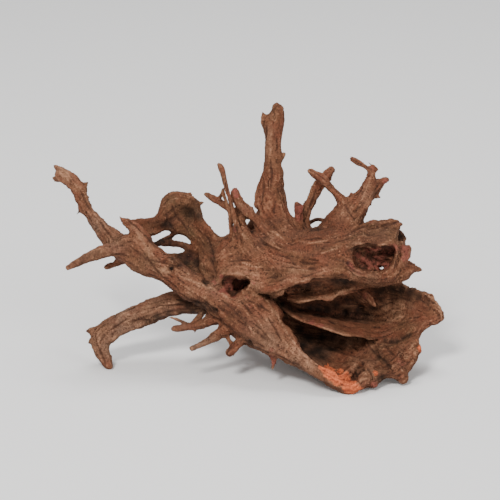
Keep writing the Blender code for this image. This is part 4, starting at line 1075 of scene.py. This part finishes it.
def zones(n):
    """Brown wood with redder, greyer, darker and olive zones."""
    colour = n.mix(n.ramp(n.mottle, 0.38, 0.62), RED_BROWN, BROWN)
    grey = n.plus(n.grey, n.ramp(n.cloud, 0.52, 0.66, 0.0, 0.4), clamp=True)
    colour = n.mix(n.times(grey, n.ramp(n.dapple, 0.3, 0.6, 0.6, 1.0)), colour, GREY_BROWN)
    colour = n.mix(n.ramp(n.cloud, 0.46, 0.34, 0.0, 0.5), colour, UMBER)
    # Umber places: darker wood, and in the cave painted shade.
    umber = n.times(n.umber, n.ramp(n.dapple, 0.35, 0.6, 1.0, 0.5))
    colour = n.mix(umber, colour, UMBER)
    olive = n.plus(n.olive, n.ramp(n.band, 0.8, 2.2, 0.0, 0.5), clamp=True)
    return n.mix(n.times(olive, n.ramp(n.dapple, 0.3, 0.6, 0.5, 0.95)), colour, OLIVE_BROWN)


def grained(n, colour):
    """Dark and light streaks along the fibres, painted shade in the low parts of the relief, pale heights
    and pale places, and mottled rough wood.
    """
    streak = n.plus(n.times(n.strand, 0.30), n.times(n.thread, 0.40))
    streak = n.plus(streak, n.times(n.fine, 0.45))
    colour = n.mix(n.ramp(streak, -0.3, -1.6, 0.0, 0.60), colour, DEEP_BROWN)
    calm = n.ramp(n.umber, 0.1, 0.9, 1.0, 0.45)
    colour = n.mix(n.times(n.ramp(streak, 0.1, 1.6, 0.0, 0.47), calm), colour, LIGHT_BROWN)
    # Painted shade in the low parts of the relief.
    colour = n.mix(n.ramp(n.relief, -0.3, -2.3, 0.0, 0.50), colour, DEEP_BROWN)
    # Pale places (partly painted light), worn ridges and high relief, mixed toward the pale wood.
    light = n.plus(n.pale, n.ramp(n.worn, 0.6, 2.4, 0.0, 0.5), clamp=True)
    light = n.plus(light, n.ramp(n.relief, 0.7, 2.2, 0.0, 0.25), clamp=True)
    light = n.times(n.times(light, calm), n.ramp(n.dapple, 0.34, 0.60, 0.18, 0.80))
    colour = n.mix(light, colour, PALE_WOOD_AND_HIGHLIGHT)
    dark_spots = n.times(n.rough, n.ramp(n.dapple, 0.50, 0.36, 0.0, 0.45))
    colour = n.mix(dark_spots, colour, DEEP_BROWN)
    pale_spots = n.times(n.rough, n.ramp(n.dapple, 0.54, 0.68, 0.0, 0.35))
    return n.mix(pale_spots, colour, PALE_WOOD_AND_HIGHLIGHT)


def edged(n, colour):
    """Painted highlights on the tops of the layer steps, pale rims, and the pale lines: painted highlights
    on edges and pale streaks along the fibres.
    """
    # Painted highlight on the top of each layer step.
    edge = n.times(n.ramp(n.layer, 0.80, 0.97), 0.45)
    edge = n.larger(edge, n.times(n.ramp(n.rim, 0.12, 0.7), 0.65))
    colour = n.mix(n.times(edge, n.ramp(n.dapple, 0.3, 0.55, 0.4, 1.0)), colour, PALE_WOOD_AND_HIGHLIGHT)
    return n.mix(n.times(n.lit, n.ramp(n.speck, 0.3, 0.6, 0.45, 0.95)), colour, PALE_WOOD_AND_HIGHLIGHT)


def torn(n, colour):
    """Torn wood with ragged borders: dull red in the hollows, orange where the lip broke."""
    ragged = n.times(n.plus(n.dapple, -0.5), 1.3)
    red = n.ramp(n.plus(n.red, ragged), 0.30, 0.62)
    colour = n.mix(n.times(red, n.ramp(n.fine, -1.2, 0.8, 0.55, 0.95)), colour, TORN_RED)
    fresh = n.mix(n.ramp(n.fine, -1.3, 0.9), TORN_RUST, TORN_ORANGE)
    orange = n.ramp(n.plus(n.orange, n.times(ragged, 0.6)), 0.30, 0.60)
    return n.mix(n.times(orange, 0.95), colour, fresh)


def darkened(n, colour):
    """Painted shade: dark grooves, cracks, layer drops and undersides, and the cave and hollows darkened
    where they see little sky and at the dark places.
    """
    # Painted shade in grooves, cracks, pecks and just below the drops between layers, less of it on the
    # orange wood.
    groove_shade = n.ramp(n.worn, -0.25, -1.9, 0.0, 0.80)
    groove_shade = n.larger(groove_shade, n.times(n.crack, 0.95))
    groove_shade = n.larger(groove_shade, n.ramp(n.layer, 0.18, 0.03, 0.0, 0.7))
    groove_shade = n.times(groove_shade, n.ramp(n.orange, 0.3, 0.8, 1.0, 0.45))
    colour = n.mix(groove_shade, colour, DEEP_BROWN)
    # Painted shade on the undersides.
    colour = n.mix(n.times(n.under, 0.45), colour, DEEP_BROWN)
    # Painted shade where the skin sees little sky, lifted on the red wood; the dark places are painted
    # near black.
    shade = n.ramp(n.openness, 0.40, 0.05, 0.0, 0.55)
    shade = n.times(shade, n.ramp(n.red, 0.1, 0.7, 1.0, 0.0))
    shade = n.larger(shade, n.times(n.dark, 0.98))
    return n.mix(shade, colour, PAINTED_SHADE_BROWN)


def toned(n, colour):
    """Grit and specks, which make the colour darker or lighter from point to point."""
    tone = n.times(n.ramp(n.grit, 0.25, 0.75, 0.70, 1.34), n.ramp(n.speck, 0.28, 0.72, 0.78, 1.22))
    tone = n.plus(tone, n.times(n.fine, 0.08))
    scale = n.new("ShaderNodeCombineColor")
    for socket in scale.inputs[:3]:
        n.fill(socket, tone)
    return n.mix(1.0, colour, scale.outputs[0], "MULTIPLY")


def wood_material():
    """Matt old wood, whose colour follows the relief of the skin."""
    n = wood_nodes()
    colour = darkened(n, torn(n, edged(n, grained(n, zones(n)))))
    n.fill(n.shader.inputs["Base Color"], toned(n, colour))
    n.fill(n.shader.inputs["Roughness"], n.ramp(n.dapple, 0.3, 0.7, 0.70, 0.92))
    n.shader.inputs["Specular IOR Level"].default_value = SHINE
    bump = n.new("ShaderNodeBump")
    bump.inputs["Strength"].default_value = BUMP_STRENGTH
    bump.inputs["Distance"].default_value = BUMP_DEPTH
    n.fill(bump.inputs["Height"], n.plus(n.times(n.fine, 0.25), n.times(n.grit, 1.3)))
    n.fill(n.shader.inputs["Normal"], bump.outputs["Normal"])
    return n.material


def main():
    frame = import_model()
    make_camera()
    make_studio()
    skin, slivers = weathered_wood(frame["nodes"][NODE])
    material = wood_material()
    for piece in (skin, slivers):
        piece.data.materials.clear()
        piece.data.materials.append(material)
        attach(piece, "root")
    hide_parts(NODE)


main()
